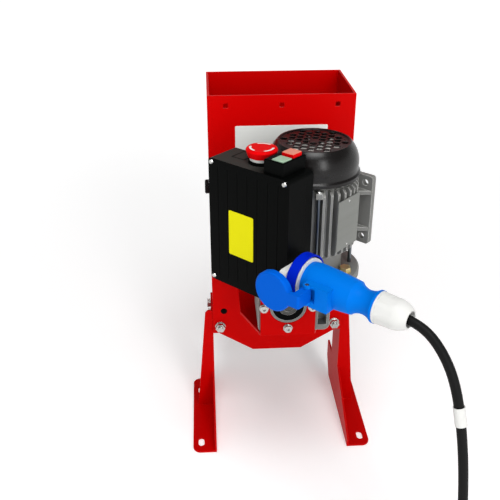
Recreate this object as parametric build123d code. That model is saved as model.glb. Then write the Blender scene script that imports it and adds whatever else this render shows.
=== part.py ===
"""Electric nutcracker: a sheet-steel hopper on two bent legs, a fluted roller that cracks nuts against an
adjustable jaw, and a worm gearbox with an upright finned motor that carries the control box.

Millimetres, +Z up, +X to the right and +Y to the back as seen from the front. While the pieces are made,
Y = 0 is the front face of the front plate and Z = 0 is the floor. At the end everything is moved so that the
origin lies on the floor under the middle of the machine, measured without the cable."""

import math
import os

from build123d import *

# Clearances
SLIP = 0.05            # radial gap of a turning shaft
SEAT = 0.1             # gap round a piece that is pressed or screwed in
MOVE = 0.4             # gap beside a sliding piece

# Hopper and frame of bent sheet
SHEET = 3.0
BODY_WIDTH = 200.0
BODY_DEPTH = 128.0
BODY_TOP = 524.0
BODY_LOW = 147.0
TONGUE_LOW = 114.0
TONGUE_SHOULDER = 9.0
TONGUE_HALF = 38.0
SIGHT_HOLE = 6.5
SIGHT_SPREAD = 75.5
SIGHT_DROP = 14.0
DRAIN_HOLE = 3.5
DRAIN_SIDE = 83.0
DRAIN_RISE = 40.0
PLAQUE_WIDTH = 126.0
PLAQUE_HEIGHT = 62.0
PLAQUE_DROP = 42.0
PLAQUE_THICK = 0.8
PLAQUE_ROUND = 1.5

# Legs
LEG_TOP = 186.0
LEG_FRONT = 4.0
LEG_WEB = 55.0
LEG_HEEL_RISE = 59.0
LEG_HEEL_BACK = 96.0
LEG_KINK = 71.0
LEG_TOE_RISE = 12.0
FLANGE_TOP = 9.0
FLANGE_FOOT = 25.0
BASE_WIDTH = 36.0
BASE_FRONT = -105.0
BASE_BACK = 74.0
BASE_ROUND = 12.0
SLOT_WIDTH = 9.0
SLOT_LENGTH = 18.0
SLOT_INSET = 12.5
SLOT_FRONT = -84.0
SLOT_BACK = 43.0

# Tie rods and leg bolts
M8_R = 4.0
M8_NUT = 13.0
M8_NUT_HIGH = 6.5
M8_WASHER_R = 8.0
M8_WASHER_HIGH = 1.6
TIE_SIDE = 11.0
TIE_RISE = 13.0
TIE_END = 3.0
LEG_BOLT_DROP = 12.0
LEG_BOLT_SPREAD = 28.0

# Roller, its shaft and its rear bearing
SHAFT_Z = 273.0
SHAFT_R = 10.0
ROLLER_R = 45.0
ROLLER_FLUTES = 18
FLUTE_DEEP = 4.0
ROLLER_END_GAP = 2.0
REAR_FLANGE = 10.0
REAR_HUB_R = 29.0
REAR_HUB_DEEP = 22.0
REAR_BOLT_SPREAD = 116.0
REAR_EAR_R = 12.0
REAR_BEARING_R = 20.0
REAR_SHAFT_END = 6.0

# Jaw with its guides and adjuster
CRACK_GAP = 22.0
JAW_THICK = 8.0
JAW_BELOW = 32.0
JAW_SLOPE_FROM = 15.0
JAW_LEAN = 7.0
JAW_RIDGES = 7
RIDGE_PITCH = 6.0
RIDGE_HIGH = 2.0
ADJUST_RISE = 95.0
JAW_OVER = 20.0
JAW_BOSS_R = 10.0
JAW_BOSS_GAP = 8.0
SPINDLE_R = 5.0
SPINDLE_COLLAR_R = 8.0
SPINDLE_COLLAR = 3.0
KNOB_R = 10.5
KNOB_HIGH = 6.0
GUIDE_R = 5.0
GUIDE_SPREAD = 70.0
GUIDE_BELOW = 12.0
BORE_IN_JAW = 5.0
JAW_OUT = 4.0           # travel away from the roller

# Deflector over the roller
DEFLECT_RISE = 160.0
DEFLECT_LIP = 30.0
DEFLECT_END = 14.0
DEFLECT_GAP = 6.0

# Worm gearbox
MODULE = 2.0
WHEEL_TEETH = 22
WORM_PITCH_R = 9.0
WORM_TURNS = 7
WHEEL_WIDTH = 10.0
WHEEL_HUB_R = 17.0
WHEEL_HUB = 24.0
GEARBOX_DEEP = 64.0
GEARBOX_BACK = 62.0
GEARBOX_DROP = 40.0
GEARBOX_FLOOR = 5.0
GEARBOX_POCKET = 16.0
GEARBOX_RIM = 4.0
TAIL_BEARING = 8.0
GEARBOX_LEFT = 40.0
GEARBOX_RIGHT = 26.0
GEARBOX_ROUND = 8.0
GEARBOX_HEAD = 29.0
GEARBOX_FLANGE = 8.0
GEARBOX_FLANGE_R = 62.0
HOLLOW_R = 12.5
HOLLOW_BORE = 7.0
OUT_BEARING_R = 23.4
OUT_BEARING = 11.0
SEAL_R = 21.0
SEAL = 6.0
COVER_R = 33.0
COVER_DEEP = 18.0
SPIGOT_R = 24.5
SPIGOT = 3.5

# Bracket that carries the gearbox
PLATE = 4.0
BRACKET_HALF = 37.0
BRACKET_WIDE = 61.0
BRACKET_WIDE_TO = 74.0
BRACKET_OVER = 27.0
SCREW_CIRCLE_R = 32.5
M6_R = 3.0
M6_HEAD_R = 5.0
M6_HEAD = 3.6
M6_WASHER_R = 6.2
M6_WASHER = 1.4
M6_DEEP = 9.0

# Motor
FOOT_ANGLE = 46.0
MOTOR_FLANGE_R = 66.5
MOTOR_FLANGE = 10.0
NECK_R = 42.0
NECK = 35.0
FRAME_R = 48.0
FRAME_HIGH = 90.0
FRAME_WALL = 5.0
FIN_R = 58.0
FIN = 3.0
FIN_STEP = 10.0
FIN_CUT = 4.0
BOX_SEAT_HALF = 17.0
THROUGH_R = 2.5
THROUGH_CIRCLE = 54.0
THROUGH_ANGLE = -136.0
THROUGH_CLEAR = 5.5      # least angle between a bolt and a fin
THROUGH_LUG = 7.0
THROUGH_HEAD_R = 4.2
THROUGH_HEAD = 4.0
REAR_SHIELD_R = 50.0
REAR_SHIELD = 11.0
COVER_RIM_R = 59.0
COVER_SIDE_R = 56.5
COVER_SHOULDER_R = 54.6
COVER_TOP_R = 46.0
COVER_RIM = 4.0
COVER_WAIST = 12.0
COVER_SHOULDER = 28.0
COVER_HIGH = 41.5
COVER_LEDGE = 2.5
COVER_DISH = 1.2
COVER_SKIN = 1.6
GRILLE_PITCH = 11.0
GRILLE_HOLE = 5.0
GRILLE_INNER = 8.0
GRILLE_OUTER = 44.0
FAN_R = 41.0
FAN_BLADES = 8
FAN_BLADE = 2.0
FAN_DISC = 2.0
FAN_HIGH = 27.0
FAN_HUB_R = 10.0
MOTOR_SHAFT_R = 8.0
SHAFT_END_R = 5.5
MOTOR_BEARING_R = 16.0
MOTOR_BEARING = 9.0
ROTOR_R = 30.0
AIR_GAP = 0.6
CORE_INSET = 10.0
FOOT_H = 63.0
FOOT_PLATE = 7.5
FOOT_INNER = 26.0
FOOT_OUTER = 55.0
FOOT_HOLE_SIDE = 44.0
FOOT_HOLE_SPREAD = 77.0
FOOT_HOLE_R = 4.3
FOOT_END = 9.8
FOOT_DROP = 7.5
FOOT_ROUND = 4.0
FOOT_WEB = 7.0
FOOT_RIB = 5.0
RATING_WIDTH = 46.0
RATING_SIDE = -4.0
RATING_HEIGHT = 68.0
RATING_THICK = 1.0
FLANGE_BOLT_CIRCLE = 51.0
FLANGE_BOLT_ANGLE = -77.0
FLANGE_BOLT_HEAD = 5.3

# Control box, measured across (from the motor axis), outwards and up
BOX_BACK = 60.0
BOX_DEEP = 46.0
BOX_LEFT = -81.0
BOX_RIGHT = 43.0
BOX_DROP = 6.0
BOX_HIGH = 168.0
BOX_WALL = 3.0
BOX_ROUND = 5.0
BOX_BASE = 14.0
RIB_COUNT = 7
RIB_WIDE = 1.2
RIB_DEEP = 0.35
COVER_SCREW_INSET = 5.0
COVER_SCREW_SHIFT = 2.0
COVER_SCREW_R = 3.3
COVER_SCREW_HIGH = 1.8
LABEL_WIDTH = 39.0
LABEL_HEIGHT = 60.0
LABEL_ACROSS = -29.0
LABEL_DROP = 91.0
LABEL_THICK = 0.5
LABEL_ROUND = 2.0
STOP_ACROSS = -20.0
STOP_SET = 18.0
STOP_CAP_R = 19.2
STOP_CAP_LOW_R = 16.6
STOP_CAP = 10.5
STOP_CAP_ROUND = 3.0
STOP_BASE_R = 16.0
STOP_BASE = 4.0
STOP_COLLAR_R = 14.6
STOP_COLLAR = 5.0
STOP_STEM_R = 8.0
STOP_TRAVEL = 4.0
SWITCH_WIDE = 28.0
SWITCH_DEEP = 42.0
SWITCH_INSET = 12.0
SWITCH_HIGH = 17.0
BUTTON_WIDE = 17.0
BUTTON_INSET = 2.0
BUTTON_WEB = 1.5
BUTTON_WELL = 12.0
BUTTON_TRAVEL = 3.0
GREEN_PROUD = 1.5
RED_PROUD = 5.0

# Inlet, coupling and gland on one level axis
INLET_OUT = 92.0
INLET_RISE = 46.0
NECK_LONG = 9.0
NECK_HALF = 30.0
NECK_HIGH = 32.0
NECK_ROUND = 6.0
COLLAR_R = 30.0
COLLAR_WALL = 2.0
COLLAR_LONG = 14.0
COLLAR_FLOOR = 3.0
NOSE_IN = 10.0
NOSE_R = 21.0
RING_R = 26.4
RING_LONG = 4.0
RING_PROUD = 1.5
SHOULDER_R = 22.4
SHOULDER = 9.0
BODY_R = 23.6
BELLY_R = 22.1
BELLY = 45.0
GRIP_R = 20.3
GRIP = 65.5
WAIST_R = 14.8
WAIST = 80.0
COUPLING_LONG = 96.0
NUT_R = 19.2
NUT_LONG = 39.0
NUT_FLAT_COUNT = 8
NUT_MOUTH_R = 9.5
NUT_MOUTH = 22.0
FLAP_R = 25.0
FLAP_THICK = 8.5
FLAP_SKIN = 2.5
FLAP_PIN_R = 2.5
FLAP_PIN_OUT = 30.0
FLAP_PIN_BEHIND = 18.0
FLAP_REACH = 34.0
FLAP_SET_OUT = 14.0
FLAP_KNUCKLE_R = 5.0
FLAP_KNUCKLE = 17.0
EAR = 4.0
LUG_LONG = 28.0
LUG_DROP = 3.0
LUG_ROOM = 11.0

# Cable
CABLE_D = 11.0
CABLE_LIFT = 1.5
CABLE_STRAIGHT = 28.0
COIL_MIDDLE = (78.0, -323.0)
COIL_R = 68.0
COIL_TURNS_A_LAYER = 1.5
COIL_PITCH = 11.6
COIL_LAYER = 11.5
COIL_TAIL = 45.0
TIE_WIDE = 12.0
TIE_THICK = 1.0
TIE_GAP = 0.8
BAND_AT = 0.3
BAND_LONG = 22.0
BAND_THICK = 0.7
PLUG_BOOT = 24.0
PLUG_BODY = 36.0
PLUG_R = 18.0
PLUG_PIN_R = 2.4
PLUG_PIN = 19.0
PLUG_PIN_SPREAD = 19.0

# Places that follow from the sizes above
HALF = BODY_WIDTH / 2
INSIDE = HALF - SHEET
BACK_FACE = BODY_DEPTH - SHEET
WHEEL_R = MODULE * WHEEL_TEETH / 2
CENTRE_DISTANCE = WHEEL_R + WORM_PITCH_R
MOTOR_X = CENTRE_DISTANCE
MOTOR_Y = -(GEARBOX_BACK + GEARBOX_DEEP / 2)
GEARBOX_FRONT = MOTOR_Y - GEARBOX_DEEP / 2
GEARBOX_BOTTOM = SHAFT_Z - GEARBOX_DROP
GEARBOX_TOP = SHAFT_Z + GEARBOX_HEAD + GEARBOX_FLANGE
FLANGE_TOP_Z = GEARBOX_TOP + MOTOR_FLANGE
FRAME_LOW = FLANGE_TOP_Z + NECK
FRAME_TOP = FRAME_LOW + FRAME_HIGH
COVER_LOW = FRAME_TOP + THROUGH_HEAD + SHEET
COVER_TOP = COVER_LOW + COVER_HIGH
BOX_BOTTOM = FLANGE_TOP_Z - BOX_DROP
BOX_TOP = BOX_BOTTOM + BOX_HIGH
ADJUST_Z = SHAFT_Z + ADJUST_RISE
MID_DEPTH = BODY_DEPTH / 2
TIE_X = HALF - TIE_SIDE
TIE_Z = BODY_LOW + TIE_RISE
JAW_FACE = -(ROLLER_R + CRACK_GAP)
JAW_BACK = JAW_FACE - JAW_THICK
LEG_BOLT_Z = LEG_TOP - LEG_BOLT_DROP
MOTOR_PLACE = Pos(MOTOR_X, MOTOR_Y, 0) * Rot(0, 0, FOOT_ANGLE)
BOX_PLACE = MOTOR_PLACE * Rot(0, 0, -90)
INLET_PLACE = BOX_PLACE * Pos(BOX_RIGHT, -INLET_OUT, BOX_BOTTOM + INLET_RISE)
COLLAR_AT = NECK_LONG
MOUTH_AT = COLLAR_AT + COLLAR_LONG
NUT_AT = MOUTH_AT + COUPLING_LONG
EXIT_AT = NUT_AT + NUT_LONG - NUT_MOUTH
CABLE_R = CABLE_D / 2
CABLE_Z = CABLE_LIFT + CABLE_R


# Simple solids between given limits
def block(x, y, z):
    """Box between three (low, high) pairs."""
    size = [high - low for low, high in (x, y, z)]
    middle = [(high + low) / 2 for low, high in (x, y, z)]
    return Pos(*middle) * Box(*size)


def upright(radius, low, high, x=0.0, y=0.0):
    """Round bar along Z."""
    return Pos(x, y, (low + high) / 2) * Cylinder(radius, high - low)


def lengthwise(radius, low, high, x=0.0, z=0.0):
    """Round bar along Y."""
    return Pos(x, (low + high) / 2, z) * Rot(90, 0, 0) * Cylinder(radius, high - low)


def crosswise(radius, low, high, y=0.0, z=0.0):
    """Round bar along X."""
    return Pos((low + high) / 2, y, z) * Rot(0, 90, 0) * Cylinder(radius, high - low)


def hexagon(across_flats, low, high):
    """Hexagonal bar along Z."""
    face = RegularPolygon(across_flats / 2, 6, major_radius=False)
    return Pos(0, 0, low) * extrude(face, high - low)


def turned(*profile):
    """Solid of revolution about Z from (radius, height) corners."""
    return revolve(Plane.XZ * make_face(Polyline(*profile, close=True)), Axis.Z)


def front_outline(points, front, back):
    """Plate seen from the front, from (x, z) corners, between two values of Y."""
    return Pos(0, front, 0) * extrude(Plane.XZ * Polygon(*points), back - front, dir=(0, 1, 0))


def side_outline(points, low, high):
    """Plate seen from the side, from (y, z) corners, between two values of X."""
    return Pos(low, 0, 0) * extrude(Plane.YZ * Polygon(*points), high - low, dir=(1, 0, 0))


def group(solids):
    """Several separate solids as one node."""
    return Compound([solid for piece in solids for solid in piece.solids()])


# Hopper
def hopper_plate(front):
    """Front or back plate: a rectangle with a tapering tongue below."""
    shoulder = HALF - TONGUE_SHOULDER
    points = [(-HALF, BODY_TOP), (-HALF, BODY_LOW), (-shoulder, BODY_LOW), (-TONGUE_HALF, TONGUE_LOW),
              (TONGUE_HALF, TONGUE_LOW), (shoulder, BODY_LOW), (HALF, BODY_LOW), (HALF, BODY_TOP)]
    plate = front_outline(points, front, front + SHEET)
    for side in (-1, 1):
        plate -= lengthwise(M8_R + SEAT, front - 1, front + SHEET + 1, side * TIE_X, TIE_Z)
    return plate


def front_plate():
    plate = hopper_plate(0.0)
    plate -= lengthwise(SHAFT_R + MOVE, -1, SHEET + 1, 0, SHAFT_Z)
    plate -= lengthwise(DRAIN_HOLE, -1, SHEET + 1, -DRAIN_SIDE, BODY_LOW + DRAIN_RISE)
    for step in (-1, 0, 1):
        x = step * SIGHT_SPREAD
        z = BODY_TOP - SIGHT_DROP
        half = SIGHT_HOLE / 2
        plate -= block((x - half, x + half), (-1, SHEET + 1), (z - half, z + half))
    return plate


def back_plate():
    plate = hopper_plate(BACK_FACE)
    plate -= lengthwise(SHAFT_R + MOVE, BACK_FACE - 1, BODY_DEPTH + 1, 0, SHAFT_Z)
    for side in (-1, 1):
        z = SHAFT_Z + side * REAR_BOLT_SPREAD / 2
        plate -= lengthwise(M8_R + SEAT, BACK_FACE - 1, BODY_DEPTH + 1, 0, z)
    return plate


def side_wall(side):
    """Wall between the two plates, with the holes for the leg bolts."""
    wall = block((INSIDE, HALF), (SHEET, BACK_FACE), (BODY_LOW, BODY_TOP))
    for y in leg_bolt_places():
        wall -= crosswise(M8_R + SEAT, INSIDE - 1, HALF + 1, y, LEG_BOLT_Z)
    if side < 0:
        wall = mirror(wall, about=Plane.YZ)
        wall -= crosswise(SPINDLE_R + SLIP, -HALF - 1, -INSIDE + 1, MID_DEPTH, ADJUST_Z)
        for y in guide_places():
            wall -= crosswise(GUIDE_R + SLIP, -HALF - 1, -INSIDE + 1, y, SHAFT_Z - GUIDE_BELOW)
    return wall


def plaque():
    top = BODY_TOP - PLAQUE_DROP
    plate = block((-PLAQUE_WIDTH / 2, PLAQUE_WIDTH / 2), (-PLAQUE_THICK, 0), (top - PLAQUE_HEIGHT, top))
    return fillet(plate.edges().filter_by(Axis.Y), PLAQUE_ROUND)


# Legs
def leg_bolt_places():
    middle = LEG_FRONT + SHEET + (LEG_WEB - SHEET) / 2
    return [middle - LEG_BOLT_SPREAD / 2, middle + LEG_BOLT_SPREAD / 2]


def leg(side):
    """Bent leg: a web beside the hopper, a tapering flange in front and a slotted base flange."""
    outer = HALF + SHEET
    web_back = LEG_FRONT + LEG_WEB
    web = side_outline([(LEG_FRONT, LEG_TOP), (web_back, LEG_TOP), (web_back, LEG_HEEL_RISE),
                        (LEG_HEEL_BACK, LEG_HEEL_RISE), (LEG_HEEL_BACK, LEG_HEEL_RISE / 2),
                        (BASE_BACK, 0), (BASE_FRONT, 0), (BASE_FRONT, LEG_TOE_RISE),
                        (LEG_FRONT, LEG_KINK)], HALF, outer)
    flange = front_outline([(outer - SHEET, LEG_TOP), (outer + FLANGE_TOP - 4, LEG_TOP),
                            (outer + FLANGE_TOP, LEG_TOP - 4), (outer + FLANGE_FOOT, 0),
                            (outer - SHEET, 0)], LEG_FRONT, LEG_FRONT + SHEET)
    base = block((HALF, HALF + BASE_WIDTH), (BASE_FRONT, BASE_BACK), (0, SHEET))
    base = fillet(base.edges().filter_by(Axis.Z).sort_by(Axis.X)[-2:], BASE_ROUND)
    for y in (SLOT_FRONT, SLOT_BACK):
        slot = Pos(HALF + BASE_WIDTH - SLOT_INSET, y, 0) * SlotOverall(SLOT_LENGTH, SLOT_WIDTH, rotation=90)
        base -= extrude(slot, 2 * SHEET, both=True)
    piece = web + flange + base
    for y in leg_bolt_places():
        piece -= crosswise(M8_R + SEAT, HALF - 1, outer + 1, y, LEG_BOLT_Z)
    return piece if side > 0 else mirror(piece, about=Plane.YZ)


def frame_bolts():
    """Bolts with nuts inside the hopper: through the leg webs, the rear bearing and one hole of the front plate."""
    outer = HALF + SHEET
    head = Pos(outer, 0, 0) * Rot(0, 90, 0) * hexagon(M8_NUT, 0, FLANGE_BOLT_HEAD)
    bolt = head + crosswise(M8_R, INSIDE - M8_NUT_HIGH - TIE_END, outer)
    nut = Pos(INSIDE, 0, 0) * Rot(0, -90, 0) * hexagon(M8_NUT, 0, M8_NUT_HIGH)
    nut -= crosswise(M8_R + SEAT, INSIDE - M8_NUT_HIGH - 1, INSIDE + 1)
    solids = []
    for y in leg_bolt_places():
        for piece in (bolt, nut):
            placed = Pos(0, y, LEG_BOLT_Z) * piece
            solids += [placed, mirror(placed, about=Plane.YZ)]
    return group(solids + rear_bearing_bolts())


def tie_rods():
    """Threaded rods from the front plate to the back plate, with a washer and a nut at each end."""
    over = M8_WASHER_HIGH + M8_NUT_HIGH + TIE_END
    washer = Cylinder(M8_WASHER_R, M8_WASHER_HIGH) - Cylinder(M8_R + SEAT, 2 * M8_WASHER_HIGH)
    washer = Pos(0, 0, M8_WASHER_HIGH / 2) * washer
    nut = hexagon(M8_NUT, M8_WASHER_HIGH, M8_WASHER_HIGH + M8_NUT_HIGH)
    nut -= upright(M8_R + SEAT, 0, 2 * M8_NUT_HIGH)
    solids = []
    for side in (-1, 1):
        solids.append(lengthwise(M8_R, -over, BODY_DEPTH + over, side * TIE_X, TIE_Z))
        for y, turn in ((0, 90), (BODY_DEPTH, -90)):
            place = Pos(side * TIE_X, y, TIE_Z) * Rot(turn, 0, 0)
            solids += [place * washer, place * nut]
    return group(solids)


# Roller and shaft
def cracking_roller():
    """Drum with V-shaped flutes along its length."""
    points = []
    for index in range(ROLLER_FLUTES):
        for share, radius in ((0.0, ROLLER_R), (0.45, ROLLER_R), (0.8, ROLLER_R - FLUTE_DEEP)):
            angle = 2 * math.pi * (index + share) / ROLLER_FLUTES
            points.append((radius * math.cos(angle), SHAFT_Z + radius * math.sin(angle)))
    front = SHEET + ROLLER_END_GAP
    back = BACK_FACE - ROLLER_END_GAP
    drum = front_outline(points, front, back)
    return drum - lengthwise(SHAFT_R + SLIP / 2, front - 1, back + 1, 0, SHAFT_Z)


def roller_shaft():
    """Shaft of the roller, stepped down into the hollow output shaft."""
    step = -GEARBOX_BACK + 2
    end = BODY_DEPTH + REAR_FLANGE + REAR_HUB_DEEP + REAR_SHAFT_END
    tip = GEARBOX_FRONT - SPIGOT
    return lengthwise(HOLLOW_BORE, tip, step, 0, SHAFT_Z) + lengthwise(SHAFT_R, step, end, 0, SHAFT_Z)


def rear_bearing_housing():
    """Flanged cast housing on the back plate: ears above and below, a hub and a bearing seat."""
    half = REAR_BOLT_SPREAD / 2
    ears = [Pos(0, side * half) * Circle(REAR_EAR_R) for side in (-1, 1)]
    flange = extrude(make_hull((ears[0] + ears[1] + Circle(REAR_HUB_R)).edges()), REAR_FLANGE)
    body = flange + upright(REAR_HUB_R, 0, REAR_FLANGE + REAR_HUB_DEEP)
    body -= upright(REAR_BEARING_R + SEAT, REAR_FLANGE, REAR_FLANGE + REAR_HUB_DEEP + 1)
    body -= upright(SHAFT_R + MOVE, -1, REAR_FLANGE + 1)
    for side in (-1, 1):
        body -= upright(M8_R + SEAT, -1, REAR_FLANGE + 1, 0, side * half)
    return Pos(0, BODY_DEPTH, SHAFT_Z) * Rot(-90, 0, 0) * body


def rear_bearing():
    """Insert bearing that the roller shaft turns in."""
    low = REAR_FLANGE
    high = REAR_FLANGE + REAR_HUB_DEEP - SHEET
    ring = upright(REAR_BEARING_R, low, high) - upright(SHAFT_R + SLIP, low - 1, high + 1)
    return Pos(0, BODY_DEPTH, SHAFT_Z) * Rot(-90, 0, 0) * ring


def rear_bearing_bolts():
    head = hexagon(M8_NUT, REAR_FLANGE, REAR_FLANGE + FLANGE_BOLT_HEAD)
    bolt = head + upright(M8_R, -SHEET - M8_NUT_HIGH, REAR_FLANGE)
    nut = hexagon(M8_NUT, -SHEET - M8_NUT_HIGH, -SHEET) - upright(M8_R + SEAT, -2 * M8_NUT_HIGH, 0)
    place = Pos(0, BODY_DEPTH, SHAFT_Z) * Rot(-90, 0, 0)
    half = REAR_BOLT_SPREAD / 2
    return [place * Pos(0, side * half, 0) * piece for side in (-1, 1) for piece in (bolt, nut)]


# Jaw and adjuster
def guide_places():
    return [MID_DEPTH - GUIDE_SPREAD / 2, MID_DEPTH + GUIDE_SPREAD / 2]


def jaw_bosses():
    """Middle (y, z), bore radius and bore end of the two guide bosses and the spindle boss."""
    end = JAW_BACK + BORE_IN_JAW
    lean = JAW_LEAN * (ADJUST_RISE - JAW_SLOPE_FROM) / (ADJUST_RISE + JAW_OVER - JAW_SLOPE_FROM)
    guides = [(y, SHAFT_Z - GUIDE_BELOW, GUIDE_R + SLIP, end) for y in guide_places()]
    return guides + [(MID_DEPTH, ADJUST_Z, SPINDLE_R + SLIP, end - lean)]


def jaw_plate():
    """Ridged plate that slides towards the roller, with bored bosses on its back."""
    low = SHAFT_Z - JAW_BELOW
    bend = SHAFT_Z + JAW_SLOPE_FROM
    high = ADJUST_Z + JAW_OVER
    face = [(JAW_FACE, low), (JAW_FACE, bend), (JAW_FACE - JAW_LEAN, high)]
    back = [(x - JAW_THICK, z) for x, z in reversed(face)]
    front_y = SHEET + MOVE
    back_y = BACK_FACE - MOVE
    plate = front_outline(face + back, front_y, back_y)
    for index in range(JAW_RIDGES):
        z = low + (index + 0.5) * RIDGE_PITCH
        half = RIDGE_PITCH / 2
        ridge = [(JAW_FACE, z - half), (JAW_FACE + RIDGE_HIGH, z), (JAW_FACE, z + half)]
        plate += front_outline(ridge, front_y, back_y)
    boss_end = -INSIDE + JAW_BOSS_GAP
    for y, z, bore, end in jaw_bosses():
        plate += crosswise(JAW_BOSS_R, boss_end, end, y, z)
        plate -= crosswise(bore, -INSIDE, end, y, z)
    return plate


def jaw_guides():
    """Pins pressed into the left wall that the jaw slides on."""
    return group(crosswise(GUIDE_R, -HALF, end - JAW_OUT - MOVE, y, z) for y, z, _, end in jaw_bosses()[:-1])


def jaw_spindle():
    """Screw held in the left wall by a collar inside and the knob outside."""
    tip = jaw_bosses()[-1][-1] - JAW_OUT - MOVE
    rod = crosswise(SPINDLE_R, -HALF - KNOB_HIGH / 2, tip, MID_DEPTH, ADJUST_Z)
    collar = crosswise(SPINDLE_COLLAR_R, -INSIDE + MOVE, -INSIDE + MOVE + SPINDLE_COLLAR, MID_DEPTH, ADJUST_Z)
    return rod + collar


def adjuster_knob():
    """Low round knob with finger notches round its rim."""
    knob = turned((0, 0), (KNOB_R, 0), (KNOB_R, KNOB_HIGH - 1.5), (KNOB_R - 1.5, KNOB_HIGH), (0, KNOB_HIGH))
    for index in range(12):
        knob -= Rot(0, 0, 30 * index) * upright(1.2, -1, KNOB_HIGH + 1, KNOB_R + 0.4)
    knob -= upright(SPINDLE_R + SLIP / 2, -1, KNOB_HIGH / 2)
    return Pos(-HALF - MOVE, MID_DEPTH, ADJUST_Z) * Rot(0, -90, 0) * knob


def deflector_plate():
    """Bent sheet that leads nuts from the right wall over the roller to the gap."""
    top = SHAFT_Z + DEFLECT_RISE
    low = SHAFT_Z + ROLLER_R + DEFLECT_GAP
    upper = [(INSIDE, top + DEFLECT_LIP), (INSIDE, top), (DEFLECT_END, low)]
    lower = [(DEFLECT_END, low + SHEET * 1.4), (INSIDE - SHEET, top + SHEET * 0.6),
             (INSIDE - SHEET, top + DEFLECT_LIP)]
    return front_outline(upper + lower, SHEET + SEAT, BACK_FACE - SEAT)


# Gearbox
def gearbox_housing():
    """Cast housing with the motor flange on top, hollow for the wheel and the worm, with a pocket."""
    top = SHAFT_Z + GEARBOX_HEAD
    body = block((-GEARBOX_LEFT, MOTOR_X + GEARBOX_RIGHT), (GEARBOX_FRONT, -GEARBOX_BACK),
                 (GEARBOX_BOTTOM, top))
    body = fillet(body.edges().filter_by(Axis.Y), GEARBOX_ROUND)
    body += upright(GEARBOX_FLANGE_R, top, GEARBOX_TOP, MOTOR_X, MOTOR_Y)
    for step in (-1, 0, 1):
        x = -GEARBOX_LEFT / 2 + step * 2 * GEARBOX_ROUND
        body -= block((x - 2, x + 2), (-GEARBOX_BACK - 3, 0),
                      (GEARBOX_BOTTOM + GEARBOX_FLOOR + 1, GEARBOX_BOTTOM + 2 * GEARBOX_FLOOR + 2))
    body -= lengthwise(COVER_R + SEAT, GEARBOX_FRONT - 1, GEARBOX_FRONT + COVER_DEEP, 0, SHAFT_Z)
    room = WHEEL_HUB / 2 + 2
    body -= lengthwise(WHEEL_R + 5, MOTOR_Y - room, MOTOR_Y + room, 0, SHAFT_Z)
    rear = -GEARBOX_BACK - SEAL
    body -= lengthwise(OUT_BEARING_R + SEAT, MOTOR_Y, rear, 0, SHAFT_Z)
    body -= lengthwise(SEAL_R + SEAT, MOTOR_Y, 1 - GEARBOX_BACK, 0, SHAFT_Z)
    seat = GEARBOX_BOTTOM + GEARBOX_FLOOR
    body -= upright(2 * SHAFT_END_R + SEAT, seat, seat + TAIL_BEARING + 2, MOTOR_X, MOTOR_Y)
    body -= upright(WORM_PITCH_R + 3.5, seat + TAIL_BEARING + 1, GEARBOX_TOP + 1, MOTOR_X, MOTOR_Y)
    body -= block((BRACKET_HALF + GEARBOX_RIM, MOTOR_X + GEARBOX_RIGHT - GEARBOX_RIM),
                  (GEARBOX_FRONT - 1, GEARBOX_FRONT + GEARBOX_POCKET),
                  (GEARBOX_BOTTOM + GEARBOX_ROUND, top - GEARBOX_ROUND))
    for place in bracket_screw_places():
        body -= place * upright(M6_R + SEAT, -1, M6_DEEP + 1)
    for index in range(4):
        bolt = MOTOR_PLACE * Rot(0, 0, FLANGE_BOLT_ANGLE + 90 * index)
        body -= bolt * upright(M8_R + SEAT, top - 1, GEARBOX_TOP + 1, FLANGE_BOLT_CIRCLE)
    return body


def gearbox_cover():
    """Front cover with the bearing seat, the seal seat and the centring spigot."""
    back = COVER_DEEP
    low = -SPIGOT
    seal_end = low + SEAL
    cover = upright(COVER_R, 0, back) + upright(SPIGOT_R, low, 0)
    cover -= upright(SEAL_R + SEAT, low - 1, seal_end + 1)
    cover -= upright(OUT_BEARING_R + SEAT, back - OUT_BEARING - 1, back + 1)
    cover -= upright(HOLLOW_R + 3, low, back)
    for index in (0, 1, 2):
        screw = Rot(0, 0, 90 * index) * Pos(SCREW_CIRCLE_R, 0, 0)
        cover -= screw * upright(M6_R + SEAT, -1, back + 1)
    return Pos(0, GEARBOX_FRONT, SHAFT_Z) * Rot(-90, 0, 0) * cover


def out_rings(radius, long, front_at, back_at):
    """A pair of rings round the hollow shaft, front and back."""
    rings = []
    for start in (front_at, back_at):
        ring = lengthwise(radius, start, start + long, 0, SHAFT_Z)
        rings.append(ring - lengthwise(HOLLOW_R + SLIP, start - 1, start + long + 1, 0, SHAFT_Z))
    return rings


def output_seals():
    return group(out_rings(SEAL_R, SEAL, GEARBOX_FRONT - SPIGOT, -GEARBOX_BACK - SEAL))


def output_bearings():
    back = -GEARBOX_BACK - SEAL - OUT_BEARING
    return out_rings(OUT_BEARING_R, OUT_BEARING, GEARBOX_FRONT + COVER_DEEP - OUT_BEARING, back)


def ball_bearings():
    """Every bearing as a ring: two on the hollow shaft, three on the motor shaft, one behind the roller."""
    return group(output_bearings() + motor_bearings() + [rear_bearing()])


def hollow_shaft():
    front = GEARBOX_FRONT - SPIGOT - 0.5
    back = -GEARBOX_BACK + 1
    tube = lengthwise(HOLLOW_R, front, back, 0, SHAFT_Z)
    return tube - lengthwise(HOLLOW_BORE + SLIP / 2, front - 1, back + 1, 0, SHAFT_Z)


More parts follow.
